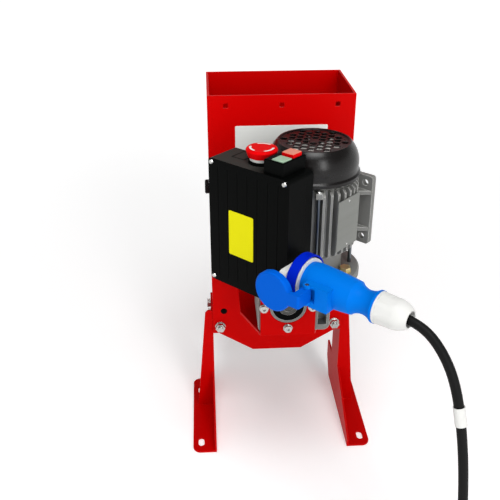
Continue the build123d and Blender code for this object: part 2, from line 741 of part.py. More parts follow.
def worm_wheel():
    """Bronze wheel on a hub. A tooth gap faces the worm."""
    pitch = 2 * math.pi / WHEEL_TEETH
    tip = WHEEL_R + 0.8 * MODULE
    root = WHEEL_R - 1.2 * MODULE
    points = []
    for index in range(WHEEL_TEETH):
        middle = (index + 0.5) * pitch
        for radius, offset in ((root, -0.3), (tip, -0.13), (tip, 0.13), (root, 0.3)):
            angle = middle + offset * pitch
            points.append((radius * math.cos(angle), SHAFT_Z + radius * math.sin(angle)))
    wheel = front_outline(points, MOTOR_Y - WHEEL_WIDTH / 2, MOTOR_Y + WHEEL_WIDTH / 2)
    wheel += lengthwise(WHEEL_HUB_R, MOTOR_Y - WHEEL_HUB / 2, MOTOR_Y + WHEEL_HUB / 2, 0, SHAFT_Z)
    return wheel - lengthwise(HOLLOW_R + SLIP / 2, MOTOR_Y - WHEEL_HUB, MOTOR_Y + WHEEL_HUB, 0, SHAFT_Z)


def worm():
    """Worm on the motor shaft end: one right-hand thread on a sleeve."""
    lead = math.pi * MODULE
    root = WORM_PITCH_R - 1.2 * MODULE
    tip = WORM_PITCH_R + 0.8 * MODULE
    low = SHAFT_Z - lead * WORM_TURNS / 2
    path = Pos(0, 0, low) * Helix(lead, lead * WORM_TURNS, root)
    half_root = 0.3 * lead
    half_tip = 0.12 * lead
    deep = 0.3
    corners = [(-deep, -half_root), (tip - root, -half_tip), (tip - root, half_tip), (-deep, half_root)]
    plane = Plane(origin=path @ 0, x_dir=(1, 0, 0), z_dir=(0, 1, 0))
    section = plane * Polygon(*[(x, -z) for x, z in corners])
    thread = sweep(section, path, is_frenet=True)
    sleeve = upright(root, low - lead / 2, low + lead * (WORM_TURNS + 0.5))
    body = sleeve + thread
    body -= upright(SHAFT_END_R + SLIP / 2, low - lead, low + lead * (WORM_TURNS + 1))
    return Pos(MOTOR_X, MOTOR_Y, 0) * body


# Bracket
def bracket_screw_places():
    """Left, lower and right holes of the gearbox face, each with Z into the gearbox."""
    face = Pos(0, GEARBOX_FRONT, SHAFT_Z) * Rot(-90, 0, 0)
    return [face * Rot(0, 0, 90 * index) * Pos(SCREW_CIRCLE_R, 0, 0) for index in (0, 1, 2)]


def bearing_bracket():
    """Shelf under the gearbox with its upturned front plate."""
    front = GEARBOX_FRONT - PLATE
    low = GEARBOX_BOTTOM - PLATE
    outline = [(-BRACKET_WIDE, 0), (-BRACKET_WIDE, -BRACKET_WIDE_TO), (-BRACKET_HALF, front),
               (BRACKET_HALF, front), (BRACKET_WIDE, -BRACKET_WIDE_TO), (BRACKET_WIDE, 0)]
    shelf = Pos(0, 0, low) * extrude(Polygon(*outline), PLATE, dir=(0, 0, 1))
    plate = block((-BRACKET_HALF, BRACKET_HALF), (front, GEARBOX_FRONT), (low, SHAFT_Z + BRACKET_OVER))
    bracket = shelf + plate
    bracket -= lengthwise(SPIGOT_R + MOVE, front - 1, GEARBOX_FRONT + 1, 0, SHAFT_Z)
    for place in bracket_screw_places():
        bracket -= place * upright(M6_R + SEAT, -PLATE - 1, 0.5)
    return bracket


def bracket_screws():
    """Cap screws with washers that hold the gearbox to the bracket."""
    head_at = -PLATE - M6_WASHER
    screw = upright(M6_HEAD_R, head_at - M6_HEAD, head_at) + upright(M6_R, head_at, M6_DEEP)
    screw -= Pos(0, 0, head_at - M6_HEAD) * extrude(RegularPolygon(M6_HEAD_R / 2, 6), M6_HEAD / 2)
    washer = upright(M6_WASHER_R, head_at, -PLATE) - upright(M6_R + SEAT, head_at - 1, 0)
    return group(place * piece for place in bracket_screw_places() for piece in (screw, washer))


# Motor, made with its axis on Z and its feet towards +X
def on_motor(piece):
    return MOTOR_PLACE * piece


def through_places():
    return [Rot(0, 0, THROUGH_ANGLE + 90 * index) * Pos(THROUGH_CIRCLE, 0, 0) for index in range(4)]


def motor_flange():
    """Drive-side end shield: flange disc, neck and bearing seat."""
    bore = MOTOR_BEARING_R + SEAT
    seat = FLANGE_TOP_Z + MOTOR_BEARING
    shield = turned((SHAFT_END_R + 3, GEARBOX_TOP), (MOTOR_FLANGE_R - 1.5, GEARBOX_TOP),
                    (MOTOR_FLANGE_R, GEARBOX_TOP + 1.5), (MOTOR_FLANGE_R, FLANGE_TOP_Z - 1.5),
                    (MOTOR_FLANGE_R - 1.5, FLANGE_TOP_Z), (NECK_R, FLANGE_TOP_Z),
                    (NECK_R, FRAME_LOW - 8), (FRAME_R, FRAME_LOW), (ROTOR_R, FRAME_LOW), (ROTOR_R, seat + 4),
                    (MOTOR_SHAFT_R + 2, seat + 4), (MOTOR_SHAFT_R + 2, seat), (bore, seat),
                    (bore, FLANGE_TOP_Z), (SHAFT_END_R + 3, FLANGE_TOP_Z))
    for place in through_places():
        shield -= place * upright(THROUGH_R + SEAT, GEARBOX_TOP + 2, FLANGE_TOP_Z + 1)
    for index in range(4):
        bolt = Rot(0, 0, FLANGE_BOLT_ANGLE + 90 * index)
        shield -= bolt * upright(M8_R + SEAT, GEARBOX_TOP - 1, FLANGE_TOP_Z + 1, FLANGE_BOLT_CIRCLE)
    return on_motor(shield)


def fin(angle):
    """One cooling fin with its outer corners cut."""
    points = [(FRAME_R - 1, FRAME_LOW), (FIN_R - FIN_CUT, FRAME_LOW), (FIN_R, FRAME_LOW + FIN_CUT),
              (FIN_R, FRAME_TOP - FIN_CUT), (FIN_R - FIN_CUT, FRAME_TOP), (FRAME_R - 1, FRAME_TOP)]
    return Rot(0, 0, angle) * front_outline(points, -FIN / 2, FIN / 2)


def motor_frame():
    """Finned housing with a seat for the control box and lugs for the through bolts."""
    frame = upright(FRAME_R, FRAME_LOW, FRAME_TOP)
    box_sector = math.degrees(math.atan2(BOX_SEAT_HALF, BOX_BACK)) + 5
    foot_sector = math.degrees(math.atan2(FOOT_INNER + FOOT_WEB + 3 * FIN, FRAME_R - 8))
    for index in range(int(360 / FIN_STEP)):
        angle = index * FIN_STEP
        beside = abs((angle - THROUGH_ANGLE + 45) % 90 - 45) > THROUGH_CLEAR
        if beside and abs(angle - 180) > box_sector and min(angle, 360 - angle) > foot_sector:
            frame += fin(angle)
    seat_low = FRAME_LOW + CORE_INSET
    frame += block((-BOX_BACK, -FRAME_R / 2), (-BOX_SEAT_HALF, BOX_SEAT_HALF),
                   (seat_low, FRAME_TOP - CORE_INSET))
    lug = block((FRAME_R - THROUGH_CIRCLE - 1, THROUGH_R + 1.5), (-THROUGH_R - 1.5, THROUGH_R + 1.5),
                (FRAME_TOP - THROUGH_LUG, FRAME_TOP))
    for place in through_places():
        frame += place * lug
        frame -= place * upright(THROUGH_R + SEAT, FRAME_LOW - 1, FRAME_TOP + 1)
    frame -= upright(FRAME_R - FRAME_WALL, FRAME_LOW - 1, FRAME_TOP + 1)
    return on_motor(frame)


def motor_through_bolts():
    """Long bolts from the rear of the frame to the flange, with round heads."""
    shank = upright(THROUGH_R, GEARBOX_TOP + 3, FRAME_TOP)
    head = turned((0, FRAME_TOP), (THROUGH_HEAD_R, FRAME_TOP), (THROUGH_HEAD_R, FRAME_TOP + THROUGH_HEAD / 2),
                  (THROUGH_HEAD_R / 2, FRAME_TOP + THROUGH_HEAD), (0, FRAME_TOP + THROUGH_HEAD))
    return group(on_motor(place * (shank + head)) for place in through_places())


def motor_feet():
    """Two feet: a drilled plate on a web with gussets, fitted to the frame."""
    middle = (FRAME_LOW + FRAME_TOP) / 2 - FOOT_DROP
    half = FOOT_HOLE_SPREAD / 2
    low = middle - half - FOOT_END
    high = middle + half + FOOT_END
    plate = block((FOOT_H - FOOT_PLATE, FOOT_H), (FOOT_INNER, FOOT_OUTER), (low, high))
    corners = plate.edges().filter_by(Axis.X).sort_by(Axis.Y)[-2:]
    foot = fillet(corners, FOOT_ROUND)
    web_low = max(low + FOOT_END, FRAME_LOW)
    back = FOOT_H - FOOT_PLATE
    foot += block((FRAME_R / 2, back), (FOOT_INNER, FOOT_INNER + FOOT_WEB), (web_low, high - FOOT_END))
    gusset = [(FRAME_R - 8, FOOT_INNER), (back, FOOT_INNER), (back, FOOT_OUTER - 2),
              (FRAME_R - 8, FOOT_INNER + FOOT_WEB)]
    for z in (middle - half + 2 * FOOT_RIB, middle + half - 3 * FOOT_RIB):
        foot += Pos(0, 0, z) * extrude(Polygon(*gusset), FOOT_RIB, dir=(0, 0, 1))
    foot -= upright(FRAME_R, low - 1, high + 1)
    for z in (middle - half, middle + half):
        foot -= crosswise(FOOT_HOLE_R, FOOT_H - FOOT_PLATE - 1, FOOT_H + 1, FOOT_HOLE_SIDE, z)
    return group([on_motor(foot), on_motor(mirror(foot, about=Plane.XZ))])


def motor_rear_shield():
    """Rear end shield with the bearing seat and four lugs that carry the fan cover."""
    high = FRAME_TOP + REAR_SHIELD
    shield = upright(REAR_SHIELD_R - 4, FRAME_TOP, high)
    lug = block((0, COVER_SIDE_R - COVER_SKIN - MOVE), (-4, 4), (COVER_LOW, high))
    for index in range(4):
        shield += Rot(0, 0, THROUGH_ANGLE + 45 + 90 * index) * lug
    shield -= upright(MOTOR_BEARING_R + SEAT, FRAME_TOP - 1, FRAME_TOP + MOTOR_BEARING)
    shield -= upright(MOTOR_SHAFT_R + 2, FRAME_TOP, high + 1)
    return on_motor(shield)


def motor_bearings():
    """Bearings in the two end shields and the small one under the worm."""
    rings = []
    for low, radius, bore, long in ((FLANGE_TOP_Z, MOTOR_BEARING_R, MOTOR_SHAFT_R, MOTOR_BEARING),
                                    (FRAME_TOP, MOTOR_BEARING_R, MOTOR_SHAFT_R, MOTOR_BEARING),
                                    (GEARBOX_BOTTOM + GEARBOX_FLOOR, 2 * SHAFT_END_R, SHAFT_END_R, TAIL_BEARING)):
        ring = upright(radius, low, low + long) - upright(bore + SLIP, low - 1, low + long + 1)
        rings.append(on_motor(ring))
    return rings


def motor_shaft():
    """Shaft with slim ends for the worm and the fan."""
    low = GEARBOX_BOTTOM + GEARBOX_FLOOR + 1
    high = FRAME_TOP + REAR_SHIELD
    slim = upright(SHAFT_END_R, low, FLANGE_TOP_Z) + upright(SHAFT_END_R, high, COVER_TOP - 3 * COVER_SKIN)
    return on_motor(slim + upright(MOTOR_SHAFT_R, FLANGE_TOP_Z, high))


def stator():
    """Laminated ring with its winding heads."""
    outer = FRAME_R - FRAME_WALL - SEAT
    inner = ROTOR_R + AIR_GAP
    low = FRAME_LOW + CORE_INSET
    high = FRAME_TOP - CORE_INSET
    core = upright(outer, low, high)
    core += upright(outer - 4, low - CORE_INSET + 2, high + CORE_INSET - 2)
    return on_motor(core - upright(inner, FRAME_LOW - 1, FRAME_TOP + 1))


def rotor_core():
    low = FRAME_LOW + CORE_INSET
    high = FRAME_TOP - CORE_INSET
    return on_motor(upright(ROTOR_R, low, high) - upright(MOTOR_SHAFT_R + SLIP / 2, low - 1, high + 1))


def motor_fan():
    """Fan with straight blades on a disc."""
    low = COVER_LOW + 2 * COVER_SKIN + FAN_DISC
    fan = upright(FAN_R, low, low + FAN_DISC) + upright(FAN_HUB_R, low, low + FAN_HIGH)
    blade = block((FAN_HUB_R - 1, FAN_R), (-FAN_BLADE / 2, FAN_BLADE / 2), (low, low + FAN_HIGH))
    for index in range(FAN_BLADES):
        fan += Rot(0, 0, 360 * index / FAN_BLADES) * blade
    return on_motor(fan - upright(SHAFT_END_R + SLIP / 2, low - 1, low + FAN_HIGH + 1))


def fan_cover():
    """Pressed cover with a flared rim, round shoulders and a dished honeycomb grille on top."""
    skin = COVER_SKIN
    step = COVER_LOW + COVER_RIM
    waist = COVER_LOW + COVER_WAIST
    shoulder = COVER_LOW + COVER_SHOULDER
    disc = COVER_TOP - COVER_DISH
    ledge = COVER_TOP_R - COVER_LEDGE
    inner = COVER_SIDE_R - skin
    outline = [Polyline((inner, COVER_LOW), (COVER_RIM_R, COVER_LOW), (COVER_RIM_R, step),
                        (COVER_SIDE_R, step + 2), (COVER_SIDE_R, waist)),
               ThreePointArc((COVER_SIDE_R, waist), (COVER_SHOULDER_R, shoulder), (COVER_TOP_R, COVER_TOP)),
               Polyline((COVER_TOP_R, COVER_TOP), (ledge, COVER_TOP), (ledge, disc), (0, disc),
                        (0, disc - skin), (ledge, disc - skin)),
               ThreePointArc((ledge, disc - skin), (COVER_SHOULDER_R - skin, shoulder), (inner, waist)),
               Line((inner, waist), (inner, COVER_LOW))]
    cover = revolve(Plane.XZ * make_face(outline), Axis.Z)
    row = GRILLE_PITCH * math.sqrt(3) / 2
    count = int(GRILLE_OUTER / row)
    holes = []
    for line in range(-count, count + 1):
        for place in range(-count - 1, count + 2):
            x = (place + 0.5 * (line % 2)) * GRILLE_PITCH
            y = line * row
            if GRILLE_INNER < math.hypot(x, y) < GRILLE_OUTER - GRILLE_HOLE:
                holes.append(Pos(x, y, disc - 2 * skin) * RegularPolygon(GRILLE_HOLE, 6, rotation=30))
    cover -= extrude(Sketch() + holes, 3 * skin)
    return on_motor(Rot(0, 0, 15 - FOOT_ANGLE) * cover)


def rating_plate():
    """Bare plate on the fins, a quarter turn from the feet."""
    middle = (FRAME_LOW + FRAME_TOP) / 2
    return on_motor(block((RATING_SIDE - RATING_WIDTH / 2, RATING_SIDE + RATING_WIDTH / 2),
                          (-FIN_R - RATING_THICK, -FIN_R),
                          (middle - RATING_HEIGHT / 2, middle + RATING_HEIGHT / 2)))


def flange_bolts():
    """Hexagon bolts that hold the motor on the gearbox."""
    head = hexagon(M8_NUT, FLANGE_TOP_Z + M8_WASHER_HIGH, FLANGE_TOP_Z + M8_WASHER_HIGH + FLANGE_BOLT_HEAD)
    bolt = head + upright(M8_WASHER_R, FLANGE_TOP_Z, FLANGE_TOP_Z + M8_WASHER_HIGH)
    bolt += upright(M8_R, GEARBOX_TOP - GEARBOX_FLANGE, FLANGE_TOP_Z)
    return group(on_motor(Rot(0, 0, FLANGE_BOLT_ANGLE + 90 * index) * Pos(FLANGE_BOLT_CIRCLE, 0, 0) * bolt)
                 for index in range(4))


# Control box, with X across, -Y outwards and Z up
def on_box(piece):
    return BOX_PLACE * piece


BOX_FACE = -(BOX_BACK + BOX_DEEP)
BOX_SPLIT = -(BOX_BACK + BOX_BASE)
BOX_ACROSS = (BOX_LEFT, BOX_RIGHT)
STOP_OUT = -(BOX_BACK + STOP_SET)
SWITCH_ACROSS = (BOX_RIGHT - SWITCH_INSET - SWITCH_WIDE, BOX_RIGHT - SWITCH_INSET)
SWITCH_OUT = (-BOX_BACK - SWITCH_DEEP, -BOX_BACK)
SWITCH_TOP = BOX_TOP + SWITCH_HIGH
BUTTON_ACROSS = (SWITCH_ACROSS[1] - BUTTON_INSET - BUTTON_WIDE, SWITCH_ACROSS[1] - BUTTON_INSET)


def box_half(front, back, open_back, low=BOX_BOTTOM):
    """Shell with rounded corners, open towards the other half."""
    shell = block(BOX_ACROSS, (front, back), (low, BOX_TOP))
    shell = fillet(shell.edges().filter_by(Axis.Y), BOX_ROUND)
    room_y = (front + BOX_WALL, back + 1) if open_back else (front - 1, back - BOX_WALL)
    room = block((BOX_LEFT + BOX_WALL, BOX_RIGHT - BOX_WALL), room_y, (low + BOX_WALL, BOX_TOP - BOX_WALL))
    return shell - room


def box_base():
    """Rear half, set up at the bottom to clear the motor flange, with a lip that closes the cover."""
    low = FLANGE_TOP_Z + 1
    base = box_half(BOX_SPLIT, -BOX_BACK, False, low)
    base += block((BOX_LEFT + BOX_ROUND, BOX_RIGHT - BOX_ROUND), (BOX_SPLIT, BOX_SPLIT + BOX_WALL),
                  (BOX_BOTTOM, low))
    return on_box(base - stop_hole())


def box_cover():
    """Cover with shallow upright grooves, screw corners and part of the stop's hole."""
    cover = box_half(BOX_FACE, BOX_SPLIT, True)
    span = (BOX_RIGHT - BOX_LEFT) / (RIB_COUNT + 1)
    for index in range(RIB_COUNT):
        x = BOX_LEFT + (index + 1) * span
        cover -= block((x - RIB_WIDE / 2, x + RIB_WIDE / 2), (BOX_FACE - 1, BOX_FACE + RIB_DEEP),
                       (BOX_BOTTOM + 3 * BOX_WALL, BOX_TOP - 3 * BOX_WALL))
    for x, z in cover_screw_places():
        cover += lengthwise(COVER_SCREW_INSET - 0.5, BOX_FACE, BOX_SPLIT, x, z)
    return on_box(cover - stop_hole())


def stop_hole():
    return upright(STOP_STEM_R + MOVE, BOX_TOP - 2 * BOX_WALL, BOX_TOP + 1, STOP_ACROSS, STOP_OUT)


def cover_screw_places():
    inset = COVER_SCREW_INSET
    across = (BOX_LEFT + inset, BOX_RIGHT - inset - COVER_SCREW_SHIFT)
    return [(x, z) for x in across for z in (BOX_BOTTOM + inset, BOX_TOP - inset)]


def cover_screws():
    """Round-headed screws in the four corners."""
    head = turned((0, 0), (COVER_SCREW_R, 0), (COVER_SCREW_R * 0.7, COVER_SCREW_HIGH), (0, COVER_SCREW_HIGH))
    return group(on_box(Pos(x, BOX_FACE, z) * Rot(90, 0, 0) * head) for x, z in cover_screw_places())


def blank_label():
    top = BOX_TOP - LABEL_DROP + LABEL_HEIGHT / 2
    label = block((LABEL_ACROSS - LABEL_WIDTH / 2, LABEL_ACROSS + LABEL_WIDTH / 2),
                  (BOX_FACE - LABEL_THICK, BOX_FACE), (top - LABEL_HEIGHT, top))
    return on_box(fillet(label.edges().filter_by(Axis.Y), LABEL_ROUND))


def stop_base():
    """Base and bright collar of the emergency stop."""
    high = BOX_TOP + STOP_BASE + STOP_COLLAR
    ring = upright(STOP_BASE_R, BOX_TOP, BOX_TOP + STOP_BASE)
    ring += upright(STOP_COLLAR_R, BOX_TOP + STOP_BASE, high)
    ring -= upright(STOP_STEM_R + MOVE, BOX_TOP - 1, high + 1)
    return on_box(Pos(STOP_ACROSS, STOP_OUT, 0) * ring)


def stop_stem():
    """Plunger under the mushroom cap."""
    low = BOX_TOP - 4 * BOX_WALL
    high = BOX_TOP + STOP_BASE + STOP_COLLAR + STOP_TRAVEL
    return on_box(upright(STOP_STEM_R, low, high, STOP_ACROSS, STOP_OUT))


def stop_cap():
    """Mushroom cap, hollow below so that it passes over the collar."""
    low = BOX_TOP + STOP_BASE + STOP_TRAVEL
    high = low + STOP_CAP
    roof = BOX_TOP + STOP_BASE + STOP_COLLAR + STOP_TRAVEL + SEAT
    inner = STOP_COLLAR_R + MOVE
    widest = high - STOP_CAP_ROUND
    crown = STOP_CAP_R - STOP_CAP_ROUND
    bulge = STOP_CAP_ROUND * math.sqrt(0.5)
    outline = [Polyline((inner, low), (STOP_CAP_LOW_R, low), (STOP_CAP_R, widest)),
               ThreePointArc((STOP_CAP_R, widest), (crown + bulge, widest + bulge), (crown, high)),
               Polyline((crown, high), (0, high), (0, roof), (inner, roof), (inner, low))]
    cap = revolve(Plane.XZ * make_face(outline), Axis.Z)
    return on_box(Pos(STOP_ACROSS, STOP_OUT, 0) * cap)


def button_wells():
    """Front and back of the wells of the green and the red button."""
    front = SWITCH_OUT[0] + BUTTON_INSET
    green = (front, front + BUTTON_WIDE)
    red = (green[1] + BUTTON_WEB, green[1] + BUTTON_WEB + BUTTON_WIDE)
    return green, red


def switch_block():
    """Raised block with two wells for the buttons."""
    piece = block(SWITCH_ACROSS, SWITCH_OUT, (BOX_TOP, SWITCH_TOP))
    piece = chamfer(piece.edges().group_by(Axis.Z)[-1], 1.0)
    for out in button_wells():
        piece -= block(BUTTON_ACROSS, out, (SWITCH_TOP - BUTTON_WELL, SWITCH_TOP + 1))
    return on_box(piece)


def push_button(out, proud):
    across = (BUTTON_ACROSS[0] + MOVE, BUTTON_ACROSS[1] - MOVE)
    depth = (out[0] + MOVE, out[1] - MOVE)
    low = SWITCH_TOP - BUTTON_WELL + BUTTON_TRAVEL + MOVE
    button = block(across, depth, (low, SWITCH_TOP + proud))
    return on_box(chamfer(button.edges().group_by(Axis.Z)[-1], 0.8))


# Inlet and coupling, with X along their axis from the box wall
def on_inlet(piece):
    return INLET_PLACE * piece


def spun(*profile):
    """Solid of revolution about X from (distance, radius) corners."""
    return revolve(make_face(Polyline(*profile, close=True)), Axis.X)


def inlet_neck():
    """Moulded flange of the inlet on the side of the box, wider than the box is deep."""
    plate = block((0, NECK_LONG), (-NECK_HALF, NECK_HALF), (-NECK_HIGH / 2, NECK_HIGH / 2))
    return on_inlet(fillet(plate.edges().filter_by(Axis.X), NECK_ROUND))


def inlet_collar():
    """Open collar with a floor, and a raised lip at its mouth."""
    inner = COLLAR_R - COLLAR_WALL
    floor = COLLAR_AT + COLLAR_FLOOR
    return on_inlet(spun((COLLAR_AT, 0), (COLLAR_AT, COLLAR_R - 1.5), (COLLAR_AT + 1.5, COLLAR_R),
                         (MOUTH_AT, COLLAR_R), (MOUTH_AT, inner), (floor, inner), (floor, 0)))


def coupling_body():
    """Moulded coupling: nose, grip, waist and the flange under the gland nut, with a hinge lug."""
    start = MOUTH_AT - NOSE_IN
    shoulder = MOUTH_AT + RING_PROUD
    front = MOUTH_AT + SHOULDER
    grip = MOUTH_AT + GRIP
    lip = NUT_AT - 3
    flange = NUT_R + 0.4
    outline = [Polyline((NUT_AT, 0), (start, 0), (start, NOSE_R), (shoulder, NOSE_R), (shoulder, SHOULDER_R),
                        (front, BODY_R)),
               ThreePointArc((front, BODY_R), (MOUTH_AT + BELLY, BELLY_R), (grip, GRIP_R)),
               ThreePointArc((grip, GRIP_R), (MOUTH_AT + WAIST, WAIST_R), (lip, flange)),
               Polyline((lip, flange), (NUT_AT, flange), (NUT_AT, 0))]
    body = revolve(make_face(outline), Axis.X) + hinge_lug()
    return on_inlet(body - upright(FLAP_PIN_R + SEAT / 2, -BODY_R, BODY_R, FLAP_PIN_X, -FLAP_PIN_OUT))


FLAP_PIN_X = MOUTH_AT + FLAP_PIN_BEHIND


def hinge_lug():
    """Block on the side of the coupling, slotted for the knuckle of the flap."""
    inside = FLAP_KNUCKLE / 2 + MOVE
    sides = (FLAP_PIN_X - FLAP_KNUCKLE_R, FLAP_PIN_X + LUG_LONG)
    lug = block(sides, (-FLAP_PIN_OUT, -BODY_R / 2), (-inside - EAR - LUG_DROP, inside + EAR))
    lug += upright(FLAP_KNUCKLE_R, -inside - EAR, inside + EAR, FLAP_PIN_X, -FLAP_PIN_OUT)
    slot = (FLAP_PIN_X - 2 * FLAP_KNUCKLE_R, FLAP_PIN_X + LUG_ROOM)
    return lug - block(slot, (-FLAP_PIN_OUT - 2 * FLAP_KNUCKLE_R, -BODY_R), (-inside, inside))


def coupling_ring():
    """White sealing ring between the collar and the coupling."""
    end = MOUTH_AT + RING_PROUD
    ring = crosswise(RING_R, end - RING_LONG, end)
    return on_inlet(ring - crosswise(NOSE_R + SLIP, end - RING_LONG - 1, end + 1))


def coupling_flap():
    """Hinged lid, swung a quarter turn open: a shallow cup with an arm to its knuckle."""
    pin_x = FLAP_PIN_X
    middle = pin_x - FLAP_REACH
    inner = -FLAP_PIN_OUT - FLAP_SET_OUT
    cup = turned((0, FLAP_THICK), (FLAP_R - 2, FLAP_THICK), (FLAP_R, FLAP_THICK - 2), (FLAP_R, 0),
                 (FLAP_R - FLAP_SKIN, 0), (FLAP_R - FLAP_SKIN, FLAP_THICK - FLAP_SKIN),
                 (0, FLAP_THICK - FLAP_SKIN))
    cup = Pos(middle, inner, 0) * Rot(90, 0, 0) * cup
    half = FLAP_KNUCKLE / 2
    outer = inner - FLAP_THICK
    arm = block((middle + FLAP_R - 3, pin_x), (outer, outer + 2 * FLAP_SKIN), (-half, half))
    arm += block((pin_x - FLAP_KNUCKLE_R, pin_x + FLAP_KNUCKLE_R), (outer, -FLAP_PIN_OUT), (-half, half))
    arm = fillet(arm.edges().filter_by(Axis.Z).sort_by(Axis.X)[-1:], 3)
    arm += upright(FLAP_KNUCKLE_R, -half, half, pin_x, -FLAP_PIN_OUT)
    flap = cup + arm
    flap -= upright(FLAP_PIN_R + SLIP, -FLAP_KNUCKLE, FLAP_KNUCKLE, pin_x, -FLAP_PIN_OUT)
    return on_inlet(flap)


def flap_pin():
    half = FLAP_KNUCKLE / 2 + MOVE + EAR
    return on_inlet(upright(FLAP_PIN_R, -half, half, FLAP_PIN_X, -FLAP_PIN_OUT))


def gland_nut():
    """Domed gland nut with flats and a flared mouth for the cable."""
    end = NUT_AT + NUT_LONG
    dome = NUT_AT + 0.45 * NUT_LONG
    outline = [Polyline((EXIT_AT, 0), (NUT_AT, 0), (NUT_AT, NUT_R), (dome, 0.95 * NUT_R)),
               ThreePointArc((dome, 0.95 * NUT_R), (NUT_AT + 0.83 * NUT_LONG, 0.81 * NUT_R),
                             (end, 0.58 * NUT_R)),
               Polyline((end, 0.58 * NUT_R), (end, NUT_MOUTH_R), (EXIT_AT, NUT_MOUTH_R), (EXIT_AT, 0))]
    nut = revolve(make_face(outline), Axis.X)
    flat = Plane.YZ * RegularPolygon(0.94 * NUT_R, NUT_FLAT_COUNT, major_radius=False)
    sleeve = Pos(NUT_AT + 3, 0, 0) * extrude(flat, 0.6 * NUT_LONG)
    cut = crosswise(NUT_R + 1, NUT_AT + 3, NUT_AT + 3 + 0.6 * NUT_LONG) - sleeve
    return on_inlet(nut - cut)


# Cable: hand-placed route from the gland to the coil, then the coil and the plug
def cable_route():
    exit_point = (INLET_PLACE * Pos(EXIT_AT, 0, 0)).position
    straight = (INLET_PLACE * Pos(EXIT_AT + CABLE_STRAIGHT, 0, 0)).position
    x, y = COIL_MIDDLE
    return [tuple(exit_point), tuple(straight), (136.0, -327.5, 346.5), (151.5, -351.0, 314.0),
            (162.0, -368.5, 250.0), (168.7, -380.0, 180.0), (172.5, -387.0, 110.0), (172.0, -389.8, 68.0),
            (152.3, -391.0, 30.5), (117.0, -391.0, CABLE_Z), (x, y - COIL_R, CABLE_Z)]


def corner_radii(points):
    """Largest arc that the shorter run at each corner leaves room for."""
    radii = []
    for before, corner, after in zip(points, points[1:], points[2:]):
        come = Vector(*corner) - Vector(*before)
        go = Vector(*after) - Vector(*corner)
        turn = math.radians(come.get_angle(go))
        radii.append(0.45 * min(come.length, go.length) / math.tan(turn / 2))
    return radii


def cable():
    points = cable_route()
    radii = corner_radii(points)
    print("cable radii", [round(radius) for radius in radii])
    path = FilletPolyline(*points, radius=radii)
    section = Plane(origin=path @ 0, z_dir=path % 0) * Circle(CABLE_R)
    tube = sweep(section, path)
    print("cable length", round(path.length, 1), "volume ratio",
          round(tube.volume / (math.pi * CABLE_R ** 2 * path.length), 4))
    return tube


def coil_point(turns):
    """Middle of the cable and its direction after so many turns, clockwise from the front."""
    turning = COIL_TURNS_A_LAYER
    side = (turns > turning) - (turns < turning)
    radius = COIL_R - COIL_PITCH * (turning - abs(turns - turning))
    rate = COIL_PITCH * side
    share = min(max((turns - turning) / 0.5 + 0.5, 0.0), 1.0)
    z = COIL_LAYER * (3 * share ** 2 - 2 * share ** 3)
    slope = COIL_LAYER * 12 * share * (1 - share)
    angle = -math.pi / 2 - 2 * math.pi * turns
    out = Vector(math.cos(angle), math.sin(angle), 0)
    along = Vector(math.sin(angle), -math.cos(angle), 0) * (2 * math.pi * radius)
    middle = Vector(*COIL_MIDDLE, CABLE_Z)
    return middle + out * radius + Vector(0, 0, z), (along + out * rate + Vector(0, 0, slope)).normalized()


def biarc(start, leave, end, arrive):
    """Two tangent arcs from one point and direction to another."""
    across = end - start
    both = leave + arrive
    a = 2 * (1 - leave.dot(arrive))
    b = across.dot(both)
    reach = (math.sqrt(b * b + a * across.dot(across)) - b) / a
    joint = (start + end + (leave - arrive) * reach) * 0.5
    first = TangentArc(start, joint, tangent=leave)
    return [first, TangentArc(joint, end, tangent=first % 1)]


def coil_ends():
    """Start, direction, end and direction of the wound part."""
    turns = 2 * COIL_TURNS_A_LAYER
    start = coil_point(0.0)[0]
    end = coil_point(turns)[0]
    straight = Vector(-1, 0, 0)
    return start, straight, end, straight, turns


def cable_coil():
    """Put-away length: a spiral in on the floor, a climb and a spiral out on top, in one tube."""
    start, leave, end, arrive, turns = coil_ends()
    quarters = round(turns * 4)
    nodes = [(start, leave)] + [coil_point(index / 4) for index in range(1, quarters)] + [(end, arrive)]
    edges = []
    for (a, ta), (b, tb) in zip(nodes, nodes[1:]):
        edges += biarc(a, ta, b, tb)
    edges.append(Line(end, end + arrive * COIL_TAIL))
    path = Wire(edges)
    print("coil length", round(path.length, 1), "least gap", round(least_gap(path), 2))
    section = Plane(origin=start, z_dir=leave) * Circle(CABLE_R)
    return sweep(section, path)


def least_gap(path):
    """Smallest space between parts of the coil that are over half a turn apart."""
    count = 600
    points = [path.position_at(index / count) for index in range(count + 1)]
    apart = int(count * math.pi * COIL_R / path.length * 0.8)
    best = min((points[i] - points[j]).length for i in range(count) for j in range(i + apart, count + 1))
    return best - CABLE_D


def coil_tie():
    """Strap round the coil at its left side."""
    x, y = COIL_MIDDLE
    inner = COIL_R - COIL_PITCH * (COIL_TURNS_A_LAYER - 0.25) - CABLE_R - TIE_GAP
    outer = COIL_R + CABLE_R + TIE_GAP
    low = CABLE_LIFT - TIE_GAP / 2 + 0.1
    high = CABLE_Z + COIL_LAYER + CABLE_R + TIE_GAP
    room = block((x - outer, x - inner), (y - TIE_WIDE, y + TIE_WIDE), (low, high))
    skin = block((x - outer - TIE_THICK, x - inner + TIE_THICK), (y - TIE_WIDE / 2, y + TIE_WIDE / 2),
                 (low - TIE_THICK, high + TIE_THICK))
    strap = skin - room
    return fillet(strap.edges().filter_by(Axis.Y).filter_by(lambda edge: edge.center().Z > high), TIE_THICK * 0.9)


